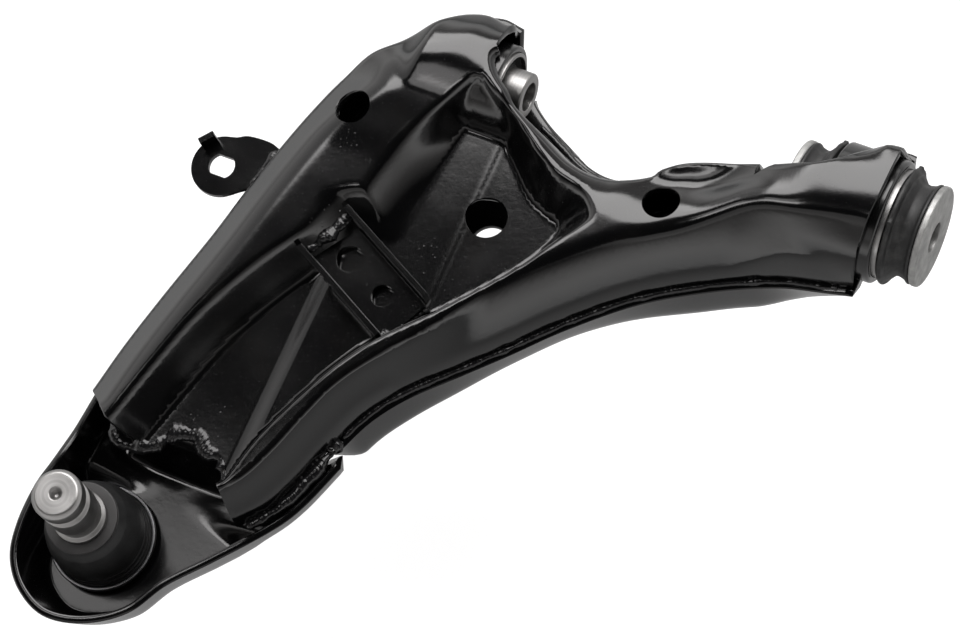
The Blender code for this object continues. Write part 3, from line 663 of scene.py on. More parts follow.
def turned(name, profile, centre, axis, look, body, replaces=(), round_by=0.35, wobble=None,
           sharp=35, segments=SEGMENTS):
    shape = soften(profile, round_by) if round_by else profile
    points, faces = turned_mesh(shape, centre, axis, segments, wobble)
    return add_object(name, points, faces, look, body, replaces, sharp=sharp)


def ring(inner, outer, low, high, chamfer=0.0):
    c = chamfer
    if c == 0:
        return [(inner, low), (outer, low), (outer, high), (inner, high)]
    return [(inner, low), (outer - c, low), (outer, low + c), (outer, high - c), (outer - c, high),
            (inner, high)]


def bead(name, path, radius, seed, normal=(0, 0, 1), squash=0.7, pitch=2.2, lump=0.2, step=0.6,
         look=None, body="arm"):
    """A weld bead swept along a path: overlapping ripples, uneven width and tapered ends."""
    rng = np.random.default_rng(seed)
    line = resample(np.asarray(path, float), step)
    n = len(line)
    along = np.gradient(line, axis=0)
    along /= np.linalg.norm(along, axis=1)[:, None]
    up = np.asarray(normal, float)
    side = np.cross(along, up)
    side /= np.linalg.norm(side, axis=1)[:, None]
    lift = np.cross(side, along)
    run = np.arange(n) * step
    knots = rng.normal(0, 1, max(4, int(n * step / 5) + 3))
    wide = 1 + lump * np.interp(run, np.linspace(0, run[-1], len(knots)), knots)
    sway = rng.normal(0, 1, len(knots)) * lump * radius * 0.5
    line = line + side * np.interp(run, np.linspace(0, run[-1], len(knots)), sway)[:, None]
    phase = (run / pitch + 0.25 * np.sin(run / 7.3)) % 1.0
    ripple = 1 + 0.10 * (1 - np.abs(2 * phase - 1)) ** 0.5 - 0.06
    taper = np.sqrt(np.clip(np.minimum(run, run[-1] - run) / (radius * 1.1) + 0.03, 0, 1))
    size = radius * np.clip(wide, 0.6, 1.7) * ripple * taper
    around = 14
    points, faces = [line[0]], []
    for i in range(n):
        for k in range(around):
            turn = 2 * math.pi * k / around
            lean = 0.35 * radius * (math.sin(turn) > 0) * math.sin(turn)
            points.append(line[i] + size[i] * (side[i] * math.cos(turn)
                                               + lift[i] * squash * math.sin(turn))
                          - along[i] * lean * taper[i])
    points.append(line[-1])
    for i in range(n - 1):
        a = 1 + i * around
        for k in range(around):
            j = (k + 1) % around
            faces.append([a + k, a + j, a + j + around, a + k + around])
    last = 1 + (n - 1) * around
    for k in range(around):
        j = (k + 1) % around
        faces.append([0, 1 + j, 1 + k])
        faces.append([last + around, last + k, last + j])
    return add_object(name, points, faces, look, body, sharp=60)


def on_top(points, lift=0.0):
    flat = np.asarray(points, float)
    return np.column_stack([flat, UPPER(flat) + lift])


# ---- materials ------------------------------------------------------------------------------


class Nodes:
    """A short way to wire a material."""

    def __init__(self, name, slot, colour, metallic, roughness):
        self.mat = bpy.data.materials.new(name)
        self.mat.use_nodes = True
        self.mat["slot"] = slot
        self.tree = self.mat.node_tree
        self.shader = self.tree.nodes["Principled BSDF"]
        self.shader.inputs["Base Color"].default_value = (*colour, 1)
        self.shader.inputs["Metallic"].default_value = metallic
        self.shader.inputs["Roughness"].default_value = roughness
        self.place = self.tree.nodes.new("ShaderNodeTexCoord").outputs["Object"]
        self.bump_from = None

    def node(self, kind, **values):
        made = self.tree.nodes.new("ShaderNode" + kind)
        for key, value in values.items():
            if hasattr(made, key):
                setattr(made, key, value)
            else:
                made.inputs[key.replace("_", " ")].default_value = value
        return made

    def link(self, out, to):
        self.tree.links.new(out, to)

    def noise(self, scale, detail=3.0, rough=0.5, place=None):
        made = self.node("TexNoise", Scale=scale, Detail=detail, Roughness=rough)
        self.link(place or self.place, made.inputs["Vector"])
        return made.outputs["Fac"]

    def spread(self, value, low, high, to_low=0.0, to_high=1.0):
        made = self.node("MapRange")
        for i, v in zip((1, 2, 3, 4), (low, high, to_low, to_high)):
            made.inputs[i].default_value = v
        made.clamp = True
        self.link(value, made.inputs[0])
        return made.outputs[0]

    def math(self, kind, a, b):
        made = self.node("Math", operation=kind)
        for i, v in enumerate((a, b)):
            if isinstance(v, (int, float)):
                made.inputs[i].default_value = v
            else:
                self.link(v, made.inputs[i])
        return made.outputs[0]

    def blend(self, share, a, b):
        made = self.node("Mix", data_type="RGBA")
        self.link(share, made.inputs[0])
        for i, v in ((6, a), (7, b)):
            if isinstance(v, tuple):
                made.inputs[i].default_value = (*v, 1)
            else:
                self.link(v, made.inputs[i])
        return made.outputs[2]

    def colour(self, out):
        self.link(out, self.shader.inputs["Base Color"])

    def roughness(self, out):
        self.link(out, self.shader.inputs["Roughness"])

    def bump(self, height, distance, strength=1.0):
        made = self.node("Bump", Strength=strength, Distance=distance)
        self.link(height, made.inputs["Height"])
        if self.bump_from is not None:
            self.link(self.bump_from, made.inputs["Normal"])
        self.bump_from = made.outputs["Normal"]
        self.link(self.bump_from, self.shader.inputs["Normal"])

    def edges(self, low=0.52, high=0.60):
        made = self.node("NewGeometry")
        return self.spread(made.outputs["Pointiness"], low, high)

    def radial(self, centre, axis):
        """Distance from an axis through centre, and the distance along it, in metres."""
        shifted = self.node("VectorMath", operation="SUBTRACT")
        self.link(self.place, shifted.inputs[0])
        shifted.inputs[1].default_value = row(centre)
        flat = self.node("VectorMath", operation="MULTIPLY")
        flat.inputs[1].default_value = (0, 1, 1) if axis == "X" else (1, 1, 0)
        self.link(shifted.outputs[0], flat.inputs[0])
        length = self.node("VectorMath", operation="LENGTH")
        self.link(flat.outputs[0], length.inputs[0])
        split = self.node("SeparateXYZ")
        self.link(shifted.outputs[0], split.inputs[0])
        return length.outputs["Value"], split.outputs[axis]


def paint(name, rough=0.12, orange=0.00004, dull=0.0):
    """Gloss black electro-coat over pressed steel: orange peel, slow waviness, dust and a painted highlight
    along sharp edges.
    """
    m = Nodes(name, "black_e_coat", (0.006, 0.006, 0.0065), 0.0, rough)
    dust = m.spread(m.noise(38, 6, 0.62), 0.52, 0.74)
    base = m.blend(dust, (0.002, 0.002, 0.0022), (0.0045, 0.0042, 0.004))
    # Lighter colour along sharp edges, broken up by noise: a painted highlight on the edges.
    edge_highlight = m.math("MULTIPLY", m.edges(0.56, 0.66), m.spread(m.noise(900, 3), 0.45, 0.65))
    m.colour(m.blend(m.math("MULTIPLY", edge_highlight, 0.25), base, (0.05, 0.048, 0.046)))
    patches = m.spread(m.noise(22, 5, 0.6), 0.35, 0.7, rough - 0.02 + dull, rough + 0.05 + dull)
    specks = m.spread(m.noise(1500, 2), 0.66, 0.74, 0.0, 0.18)
    m.roughness(m.math("ADD", patches, specks))
    m.shader.inputs["Coat Weight"].default_value = 0.35
    m.shader.inputs["Coat Roughness"].default_value = 0.12
    m.bump(m.noise(16, 2), 0.0007, 0.55)
    m.bump(m.noise(330, 2), orange, 0.8)
    m.bump(m.noise(1400, 2), orange * 0.3, 0.6)
    return m.mat


def weld_look():
    """Coated weld metal: rougher, with slag pits and fine ripple lines."""
    m = Nodes("weld_coat", "black_e_coat", (0.008, 0.008, 0.0085), 0.0, 0.22)
    m.roughness(m.spread(m.noise(260, 4), 0.3, 0.7, 0.1, 0.26))
    pits = m.spread(m.noise(700, 2), 0.62, 0.72)
    m.colour(m.blend(pits, (0.007, 0.007, 0.0075), (0.02, 0.018, 0.016)))
    m.bump(m.noise(300, 2, 0.5), 0.00018, 0.7)
    m.bump(pits, 0.00012, 0.4)
    return m.mat


def turned_steel(name, centre, axis, slot="machined_steel", colour=(0.56, 0.55, 0.54), rough=0.24,
                 pitch=5200.0):
    """Lathe-turned steel: fine feed rings, brighter and duller bands, a few stains."""
    m = Nodes(name, slot, colour, 1.0, rough)
    radius, along = m.radial(centre, axis)
    lane = m.math("ADD", radius, along)
    wave = m.node("TexNoise", noise_dimensions="1D", Scale=pitch, Detail=2.0)
    m.link(lane, wave.inputs["W"])
    bands = m.node("TexNoise", noise_dimensions="1D", Scale=700.0, Detail=2.0)
    m.link(lane, bands.inputs["W"])
    dark = tuple(c * 0.86 for c in colour)
    stain = m.spread(m.noise(130, 4), 0.55, 0.75, 0.0, 0.5)
    base = m.blend(m.spread(bands.outputs["Fac"], 0.35, 0.65), colour, dark)
    m.colour(m.blend(stain, base, tuple(c * 0.5 for c in colour)))
    m.roughness(m.spread(bands.outputs["Fac"], 0.3, 0.7, rough - 0.02, rough + 0.05))
    m.bump(wave.outputs["Fac"], 0.000025, 0.9)
    m.shader.inputs["Anisotropic"].default_value = 0.4
    return m.mat


def plate_steel():
    """Dull zinc end plate: faint circular scratches, handling marks and grey bloom."""
    m = Nodes("zinc_plate_look", "zinc_plate", (0.42, 0.42, 0.41), 0.85, 0.5)
    radius, _ = m.radial((REAR_CENTRE_X, 0, 0), "X")
    rings = m.node("TexNoise", noise_dimensions="1D", Scale=3200.0, Detail=2.0)
    m.link(radius, rings.inputs["W"])
    bloom = m.spread(m.noise(90, 6, 0.65), 0.38, 0.66)
    m.colour(m.blend(bloom, (0.30, 0.30, 0.295), (0.47, 0.47, 0.46)))
    m.roughness(m.spread(m.noise(240, 4), 0.3, 0.7, 0.42, 0.62))
    m.bump(rings.outputs["Fac"], 0.00003, 0.6)
    m.bump(m.noise(900, 3), 0.00004, 0.6)
    return m.mat


def rubber(name, colour=(0.013, 0.013, 0.0135), rough=0.5, bloom=0.25, bloom_colour=(0.16, 0.16, 0.155),
           grain=1800):
    """Moulded rubber: fine grain, powdery bloom in patches and light scuffs."""
    m = Nodes(name, "bush_rubber", colour, 0.0, rough)
    powder = m.spread(m.noise(75, 8, 0.7), 0.5, 0.78, 0.0, bloom)
    scuff = m.spread(m.noise(420, 5, 0.7), 0.62, 0.74, 0.0, bloom)
    base = m.blend(m.math("MAXIMUM", powder, scuff), colour, bloom_colour)
    m.colour(base)
    m.roughness(m.spread(m.noise(160, 4), 0.3, 0.7, rough - 0.06, rough + 0.12))
    m.bump(m.noise(grain, 3), 0.00003, 0.8)
    m.bump(m.noise(120, 2), 0.0001, 0.35)
    return m.mat


def polymer():
    m = Nodes("seat_polymer_look", "seat_polymer", (0.7, 0.68, 0.6), 0.0, 0.45)
    m.colour(m.blend(m.noise(110, 4), (0.66, 0.64, 0.56), (0.74, 0.72, 0.65)))
    m.shader.inputs["Subsurface Weight"].default_value = 0.1
    m.bump(m.noise(1200, 2), 0.00002, 0.6)
    return m.mat


COAT = paint("gloss_e_coat")
COAT_THIN = paint("thin_e_coat", rough=0.18, orange=0.00003, dull=0.03)
WELD = weld_look()
STUD_STEEL = turned_steel("turned_stud_steel", (BALL_X, BALL_Y, BALL_Z), "Z",
                          colour=(0.36, 0.355, 0.35), rough=0.4)
SLEEVE_STEEL = turned_steel("drawn_sleeve_steel", (0, 0, 0), "X", colour=(0.34, 0.335, 0.33), rough=0.34,
                            pitch=3600.0)
JOINT_STEEL = turned_steel("pressed_joint_steel", (BALL_X, BALL_Y, BALL_Z), "Z",
                           colour=(0.2, 0.2, 0.205), rough=0.36)
PLATE = plate_steel()
RUBBER = rubber("bush_rubber_look", colour=(0.007, 0.007, 0.0073), bloom=0.3)
BOOT = rubber("boot_rubber_look", colour=(0.012, 0.0122, 0.0125), rough=0.42, bloom=0.05, grain=2400)
BOOT_CAP = rubber("boot_cap_look", colour=(0.03, 0.029, 0.029), rough=0.5, bloom=0.05, grain=2600)
POLYMER = polymer()


# ---- the pieces -----------------------------------------------------------------------------


def cutter(profile, axis="X", centre=(0, 0, 0), segments=96):
    points, faces = turned_mesh(profile, centre, axis, segments)
    return add_object("cutter", points, faces, COAT, None)


def drop(*objs):
    for obj in objs:
        bpy.data.objects.remove(obj, do_unlink=True)


def upper_loop(step):
    parts = [spline(RIGHT_SIDE, step), spline(OUTER_END, step), spline(LEFT_SIDE, step),
             spline([(96, 31), (96.5, 21), (97, 12)], step), spline(INBOARD_SIDE, step),
             spline([(319, 28), (319, 0), (317, -28)], step)]
    return np.vstack(parts)


def tray_loop(step):
    """Inner line of the lower shell's wall, just inside the upper shell's edge."""
    parts = []
    for side in (RIGHT_SIDE, LEFT_SIDE):
        fine = spline(side, 0.5)
        parts.append(resample(fine[fine[:, 1] > TRAY_END_Y], step))
    raw = np.vstack(parts + [spline(INBOARD_SIDE, step)])
    return raw + inward(raw) * (SHEET - LEDGE)


def add_shells():
    wall_rows = (0.4, 0.9, 1.5, 2.2, 3.0, 4.0, 5.2, 6.6, 8.2, 10, 12, 14.5)
    step = REAR_TUBE_X[0] - 1.3

    def eyes(extra):
        return [(FRONT_CLEAR_R + 0.6 * extra, -20, FRONT_TUBE_X[0] - 1),
                (FRONT_TUBE_R + extra, FRONT_TUBE_X[0] - 1, 150), (REAR_PLATE_R + 1.2, 252, step),
                (REAR_LIP_R + 1.2, step - 6.5, step), (REAR_TUBE_R + extra, step, 340)]

    lines = [spline(FLOOR_LEFT, 1.5), spline(FLOOR_RIGHT, 1.5)]
    sheet("upper_shell_pressing", upper_loop(FINE), UPPER, COAT, "upper_shell", TOP_HOLES,
          lines, wall_rows, solids=eyes(3.0))
    sheet("lower_shell_pressing", tray_loop(FINE), TRAY, COAT, "lower_shell", [LOWER_HOLE],
          (), wall_rows[:9], step=2.6, solids=eyes(0.3),
          reshape=flare)
    end = resample(np.array([(x, CUP_END_Y) for x in (-26.0, 0, 40, 90)]), FINE)
    loop = np.vstack([spline(CUP_RIM, FINE), end])
    sheet("outer_end_cup_pressing", loop, CUP, COAT, "outer_end_cup",
          [((BALL_X, BALL_Y), HOUSING_R + 0.3)], (), wall_rows)


def add_front_bush():
    axis = (0, 0, 0)
    turned("front_eye_tube_coated", ring(FRONT_SLEEVE_R + 0.3, FRONT_TUBE_R, *FRONT_TUBE_X, 0.8),
           axis, "X", COAT_THIN, "arm", ["front_eye_tube"])
    turned("front_outer_sleeve_turned", ring(FRONT_SLEEVE_R - 2, FRONT_SLEEVE_R, *FRONT_SLEEVE_X, 0.5),
           axis, "X", SLEEVE_STEEL, "arm", ["front_bush_outer_sleeve"])
    low, high = FRONT_SLEEVE_X[0] + 1, FRONT_SLEEVE_X[1] - 1
    hub, wall, mid = FRONT_INNER_R + 0.2, FRONT_SLEEVE_R - 2.1, (low + high) / 2
    waist = (hub + wall) / 2
    shape = [(hub, low), (waist - 0.6, low + 4.4), (waist + 0.6, low + 4.4), (wall, low + 1),
             (wall, mid), (wall, high - 1), (waist + 0.6, high - 4.4), (waist - 0.6, high - 4.4),
             (hub, high)]
    turned("front_rubber_moulding", shape, axis, "X", RUBBER, "arm", ["front_bush_rubber"], 1.2)
    turned("front_inner_sleeve_turned", ring(FRONT_BORE_R, FRONT_INNER_R, *FRONT_INNER_X, 0.9),
           axis, "X", SLEEVE_STEEL, "front_pivot", ["front_bush_inner_sleeve"], 0.5)


def flash(radius, along, turn):
    """Uneven mould flash around the lip of a rubber end."""
    at_lip = math.exp(-((radius - REAR_LIP_R) / 0.9) ** 2)
    rough = math.sin(5 * turn + 0.7) * 0.25 + math.sin(13 * turn) * 0.18 + math.sin(31 * turn) * 0.12
    nib = sum(math.exp(-((math.sin((turn - a) / 2) / 0.02) ** 2)) for a in (0.35, 1.9, 4.1, 5.3))
    return radius + at_lip * (rough * 0.6 + nib * 1.3), along


def rear_rubber_profile(side):
    plate = REAR_PLATE_X[1] - REAR_PLATE_T - 0.2
    hub = REAR_INNER_R + 0.2
    flange = REAR_CENTRE_X + 19.4
    shape = [(hub, flange), (REAR_LIP_R, flange), (REAR_LIP_R + 0.6, flange + 1.2),
             (REAR_LIP_R + 0.1, flange + 2.6), (REAR_LIP_R - 2.4, flange + 3.4),
             (REAR_LIP_R - 2.8, flange + 4.2), (REAR_WAIST_R + 2.4, flange + 5.2),
             (REAR_WAIST_R + 0.4, flange + 7.0), (REAR_WAIST_R, flange + 9.0),
             (REAR_WAIST_R + 0.5, flange + 11.2), (REAR_PLATE_R - 1.3, plate - 2.4),
             (REAR_PLATE_R - 0.1, plate - 1.2), (REAR_PLATE_R - 0.3, plate), (hub, plate)]
    if side > 0:
        return shape
    return [(r, 2 * REAR_CENTRE_X - x) for r, x in reversed(shape)]


def add_rear_bush():
    axis = (0, 0, 0)
    tube = ring(REAR_SLEEVE_R + 0.3, REAR_TUBE_R, *REAR_TUBE_X, 1.2)
    turned("rear_eye_tube_coated", tube, axis, "X", COAT_THIN, "arm", ["rear_eye_tube"], 0.6)
    half = 18.8
    turned("rear_outer_sleeve_turned", ring(REAR_SLEEVE_R - 2, REAR_SLEEVE_R, REAR_CENTRE_X - half,
                                            REAR_CENTRE_X + half, 0.5),
           axis, "X", SLEEVE_STEEL, "arm", ["rear_bush_outer_sleeve"])
    for side, name in ((1, "outer"), (-1, "inner")):
        turned(f"rear_rubber_{name}_moulding", rear_rubber_profile(side), axis, "X", RUBBER, "arm",
               [f"rear_bush_rubber_{name}_end"], 0.7, flash, segments=160)
    low, high = REAR_PLATE_X
    for name, x0 in (("inner", low), ("outer", high - REAR_PLATE_T)):
        turned(f"rear_{name}_plate_pressed", ring(REAR_BORE_R, REAR_PLATE_R, x0, x0 + REAR_PLATE_T, 0.8),
               axis, "X", PLATE, "rear_pivot", [f"rear_bush_{name}_plate"], 0.45)


def ball_arc(radius, low, high, steps):
    turns = np.linspace(math.asin(low / radius), math.asin(high / radius), steps)
    return [(radius * math.cos(t), BALL_Z + radius * math.sin(t)) for t in turns]


def add_stud():
    """Ball, tapered neck, seat collar, then the clamped cylinder with its groove."""
    ball = ball_arc(BALL_R, -BALL_R, 11.8, 30)
    ball[0] = (0, BALL_Z - BALL_R)
    top = STUD_TOP_Z
    upper = [(8.4, BALL_Z + 17), (9.8, BOOT_TOP_Z - 6), (9.8, BOOT_TOP_Z + 0.4),
             (STUD_R + 0.9, BOOT_TOP_Z + 0.4), (STUD_R + 0.9, BOOT_TOP_Z + 3.2),
             (STUD_R - 1.2, BOOT_TOP_Z + 4.6), (STUD_R - 1.7, top - 31.5), (STUD_R, top - 30),
             (STUD_R, top - 16.2), (STUD_R - 1.9, top - 14.6), (STUD_R - 1.9, top - 11.2),
             (STUD_R, top - 9.4), (STUD_R, top - 2.2), (STUD_R - 1.7, top - 0.4),
             (STUD_R - 2.6, top), (3.6, top), (2.9, top - 0.8), (1.2, top - 3.2), (0, top - 3.6)]
    turned("ball_stud_turned", ball + soften([(BALL_R, -90)] + upper, 0.4)[4:], (BALL_X, BALL_Y, 0),
           "Z", STUD_STEEL, "stud", ["ball_stud"], 0, sharp=30, segments=128)


def add_boot():
    centre = (BALL_X, BALL_Y, 0)
    base = CUP_FLOOR_Z + 4
    wall = 2.2
    z = BOOT_SPLIT_Z
    low_out = [(BOOT_BASE_R + 0.1, base + 0.2), (BOOT_BASE_R + 0.1, base + 3.6),
               (BOOT_BASE_R - 0.8, base + 4.4), (BOOT_BASE_R - 0.1, base + 5.6),
               (BOOT_BASE_R - 0.1, base + 7.2), (BOOT_BASE_R - 1.0, base + 8.0),
               (BOOT_BASE_R - 0.5, base + 9.0), (BOOT_BASE_R - 0.5, z - 0.9), (BOOT_BASE_R - 1.3, z)]
    low_in = [(HOUSING_R + 0.7, z), (HOUSING_R + 0.5, base + 0.2)]
    lower = turned("dust_boot_base", low_out + low_in, centre, "Z", BOOT, None, (), 0.4)
    high_out = [(BOOT_BASE_R - 1.3, z), (BOOT_BASE_R - 0.6, z + 0.9), (BOOT_BASE_R - 0.7, z + 2.5),
                (25.9, -12.5), (25.0, -8), (23.8, -3.2), (22.4, 1.2), (BOOT_TOP_R + 0.9, 4.6),
                (BOOT_TOP_R + 0.2, 5.9), (BOOT_TOP_R, BOOT_TOP_Z - 2.4)]
    high_in = [(12.6, BOOT_TOP_Z - 2.4), (12.6, BOOT_TOP_Z - 5), (BOOT_TOP_R - wall, BOOT_TOP_Z - 6),
               (22.2 - wall, -1), (24.2 - wall, -9), (HOUSING_R + 0.7, z)]
    upper = turned("dust_boot_bell", high_out + high_in, centre, "Z", BOOT, None, (), 0.7)
    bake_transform(lower)
    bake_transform(upper)
    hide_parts("dust_boot")
    cap = [(10.4, BOOT_TOP_Z - 2.1), (BOOT_TOP_R, BOOT_TOP_Z - 2.1), (BOOT_TOP_R, BOOT_TOP_Z - 0.5),
           (BOOT_TOP_R - 0.5, BOOT_TOP_Z), (10.4, BOOT_TOP_Z)]
    turned("boot_top_ring_moulded", cap, centre, "Z", BOOT_CAP, "boot_ring", ["boot_top_ring"], 0.25)
    turned("boot_base_clamp_band", ring(BOOT_BASE_R + 0.2, BOOT_BASE_R + 2, base + 0.4, base + 3.2, 0.4),
           centre, "Z", JOINT_STEEL, "arm", ["boot_base_clamp"], 0.3)


def add_ball_joint():
    centre = (BALL_X, BALL_Y, 0)
    z = BALL_Z
    socket = BALL_R + 4.3
    body = [(socket, z - 15), (HOUSING_R + 3.3, z - 15), (HOUSING_R + 4.5, z - 13.4),
            (HOUSING_R + 4.5, CUP_FLOOR_Z - SHEET - 0.2), (HOUSING_R, CUP_FLOOR_Z - SHEET - 0.2),
            (HOUSING_R, CUP_FLOOR_Z + 3.2), (HOUSING_R - 1.2, CUP_FLOOR_Z + 4.2),
            (HOUSING_R, CUP_FLOOR_Z + 5.4), (HOUSING_R, CUP_FLOOR_Z + 9.5),
            (17.4, CUP_FLOOR_Z + 9.5), (16.0, z + 14.4), (socket, z + 14.4)]
    turned("ball_joint_housing_forged", body, centre, "Z", COAT_THIN, "arm", ["ball_joint_housing"], 0.5)
    cover = [(0, z - 20.4), (socket - 5, z - 20.4), (socket - 4, z - 19.8), (socket + 1, z - 19.8),
             (socket + 2, z - 19.0), (socket + 2, z - 15.4), (socket - 2.5, z - 15.4),
             (socket - 2.5, z - 17.9), (0, z - 17.9)]
    turned("ball_joint_cover_pressed", cover, centre, "Z", JOINT_STEEL, "arm", ["ball_joint_cover"], 0.5)
    add_stud()
    add_boot()


def bracket_point(u, v, z):
    c, s = math.cos(BRACKET_ANGLE), math.sin(BRACKET_ANGLE)
    return (BRACKET_CENTRE[0] + u * c - v * s, BRACKET_CENTRE[1] + u * s + v * c, z)


def add_damper_bracket():
    """A folded U-shaped saddle with rounded bends and two holes."""
    half, wall, low = BRACKET_WIDTH / 2, BRACKET_T, BRACKET_FLOOR_Z
    outer = [(-half, BRACKET_TOP_Z), (-half, low - wall + 3), (-half + 0.9, low - wall + 0.9),
             (-half + 3, low - wall), (half - 3, low - wall), (half - 0.9, low - wall + 0.9),
             (half, low - wall + 3), (half, BRACKET_TOP_Z)]
    inner = [(half - wall, BRACKET_TOP_Z), (half - wall, low + 0.8), (half - wall - 0.8, low),
             (wall + 0.8 - half, low), (wall - half, low + 0.8), (wall - half, BRACKET_TOP_Z)]
    profile = outer + inner
    n = len(profile)
    ends = (-BRACKET_LENGTH / 2 - 2.5, BRACKET_LENGTH / 2 + 2.5)
    points = [bracket_point(u, v, z) for u in ends for v, z in profile]
    faces = [list(range(n)), list(range(n, 2 * n))[::-1]]
    faces += [[i, i + n, (i + 1) % n + n, (i + 1) % n] for i in range(n)]
    obj = add_object("damper_bracket_folded", points, faces, COAT, None)
    for u, radius in ((-14.5, 7.3), (13.5, 6.0)):
        x, y, _ = bracket_point(u, 0, 0)
        hole = cutter([(0, 3), (radius, 3), (radius, 16), (0, 16)], "Z", (x, y, 0), 56)
        carve(obj, hole)
        drop(hole)
    soft_edges(obj, 0.35)
    settle(obj, "arm", ["damper_bracket"])


def soft_edges(obj, width, angle=40, segments=2):
    """Small rounded edges on a plate, with its flat faces kept flat in the shading."""
    obj.data.shade_smooth()
    edge = obj.modifiers.new("edge", "BEVEL")
    edge.width = width * MM
    edge.segments = segments
    edge.limit_method = "ANGLE"
    edge.angle_limit = math.radians(angle)
    edge.harden_normals = False
    flat = obj.modifiers.new("flat", "WEIGHTED_NORMAL")
    flat.weight = 100
    made = bpy.data.meshes.new_from_object(
        obj.evaluated_get(bpy.context.evaluated_depsgraph_get()))
    obj.modifiers.clear()
    obj.data = made


def prism(name, outline, low, high):
    n = len(outline)
    points = [(x, y, low) for x, y in outline] + [(x, y, high) for x, y in outline]
    faces = [list(range(n))[::-1], list(range(n, 2 * n))]
    faces += [[i, (i + 1) % n, (i + 1) % n + n, i + n] for i in range(n)]
    return add_object(name, points, faces, COAT, None)


def add_link_bracket():
    """A flat tongue with a keyed hole and a folded anti-rotation tab."""
    cx, cy = LINK_CENTRE
    arc = [(cx + LINK_R * math.cos(t), cy + LINK_R * math.sin(t))
           for t in np.linspace(math.radians(100), math.radians(298), 52)]
    neck = spline([(-14.1, -107), (-9.5, -103.3), (-5.2, -100.5)], 1.5)
    far = spline([(1.2, -74.5), (-6, -72.6), (-18, -73.3), (-24, -76.2)], 1.5)
    outline = arc + [tuple(p) for p in np.vstack([neck, far])]
    plate = prism("link_bracket_pressed", outline, LINK_Z - LINK_T, LINK_Z)
    key = [(cx + 7.3 * math.cos(t), cy + float(np.clip(7.3 * math.sin(t), -5.8, 5.8)))
           for t in np.linspace(0, 2 * math.pi, 72, endpoint=False)]
    hole = prism("cutter", key, LINK_Z - 9, LINK_Z + 6)
    carve(plate, hole)
    a = math.radians(140)
    tx, ty = cx + (LINK_R - 2) * math.cos(a), cy + (LINK_R - 2) * math.sin(a)
    c, s = math.cos(a + math.pi / 2), math.sin(a + math.pi / 2)
    corners = [(4.5, 1.6), (-4.5, 1.6), (-4.5, -1.6), (4.5, -1.6)]
    tab = [(tx + u * c - v * s, ty + u * s + v * c) for u, v in corners]
    fold = prism("cutter", tab, LINK_Z - 1, LINK_Z + 9)
    carve(plate, fold, "UNION")
    drop(hole, fold)
    soft_edges(plate, 0.4)
    settle(plate, "arm", ["link_bracket"])


def outline_part(points, low, high, offset, z, step=1.0):
    """A stretch of a plan outline, pushed outwards, at a height."""
    line = spline(points, step)
    along = np.gradient(line, axis=0)
    out = np.stack([along[:, 1], -along[:, 0]], 1)
    out /= np.linalg.norm(out, axis=1)[:, None]
    count = len(line)
    part = slice(int(low * count), max(int(high * count), int(low * count) + 3))
    flat = (line + out * offset)[part]
    return np.column_stack([flat, np.full(len(flat), float(z))])


def add_welds():
    seam_z = (SEAM_Z + TRAY_EDGE_Z) / 2 - 0.4
    bead("weld_side_seam_outboard", outline_part(RIGHT_SIDE, 0.02, 0.80, -0.9, seam_z), 1.75, 3, look=WELD,
         squash=0.95, lump=0.14, pitch=3.4)
    bead("weld_side_seam_front", outline_part(LEFT_SIDE, 0.08, 0.86, -0.9, seam_z), 1.75, 4, look=WELD,
         squash=0.95, lump=0.14, pitch=3.4)
    bead("weld_side_seam_inboard", outline_part(INBOARD_SIDE, 0.12, 0.90, -0.9, seam_z), 1.75, 5,
         look=WELD, squash=0.95, lump=0.14, pitch=3.4)
    bead("weld_cup_seam_outboard", outline_part(RIGHT_SIDE, 0.80, 0.99, -1.6, seam_z - 0.6), 2.9, 6,
         look=WELD, squash=0.9, lump=0.3, pitch=2.8)
    bead("weld_cup_seam_front", outline_part(LEFT_SIDE, 0.0, 0.08, -1.6, seam_z - 0.6), 2.6, 7,
         look=WELD, squash=0.9, lump=0.25, pitch=2.8)
    end = spline([(60, -262), (53, -251), (47, -242), (37, -237.5), (26, -233), (14, -238), (3, -248),
                  (-9, -250), (-20, -243)], 1.0)
    bead("weld_channel_floor_end", np.column_stack([end + (0, -1.2), np.full(len(end), -1.2)]), 4.3, 8,
         look=WELD, squash=0.75, lump=0.32, pitch=3.2)
    for u, name, seed in ((-BRACKET_LENGTH / 2, "front", 9), (BRACKET_LENGTH / 2, "rear", 10)):
        line = [bracket_point(u, v, 0)[:2] for v in np.linspace(-15, 17, 12)]
        bead(f"weld_bracket_{name}", on_top(line, 0.4), 3.3, seed, look=WELD, squash=0.7, lump=0.35,
             pitch=2.6)
    cx, cy = LINK_CENTRE
    link = [(0.6, -76, LINK_Z + 0.4), (-1.4, -88, LINK_Z + 0.4), (-4.6, -99.5, LINK_Z + 0.4)]
    bead("weld_link_bracket", resample(np.array(link), 1.0), 2.2, 11, look=WELD, lump=0.3)


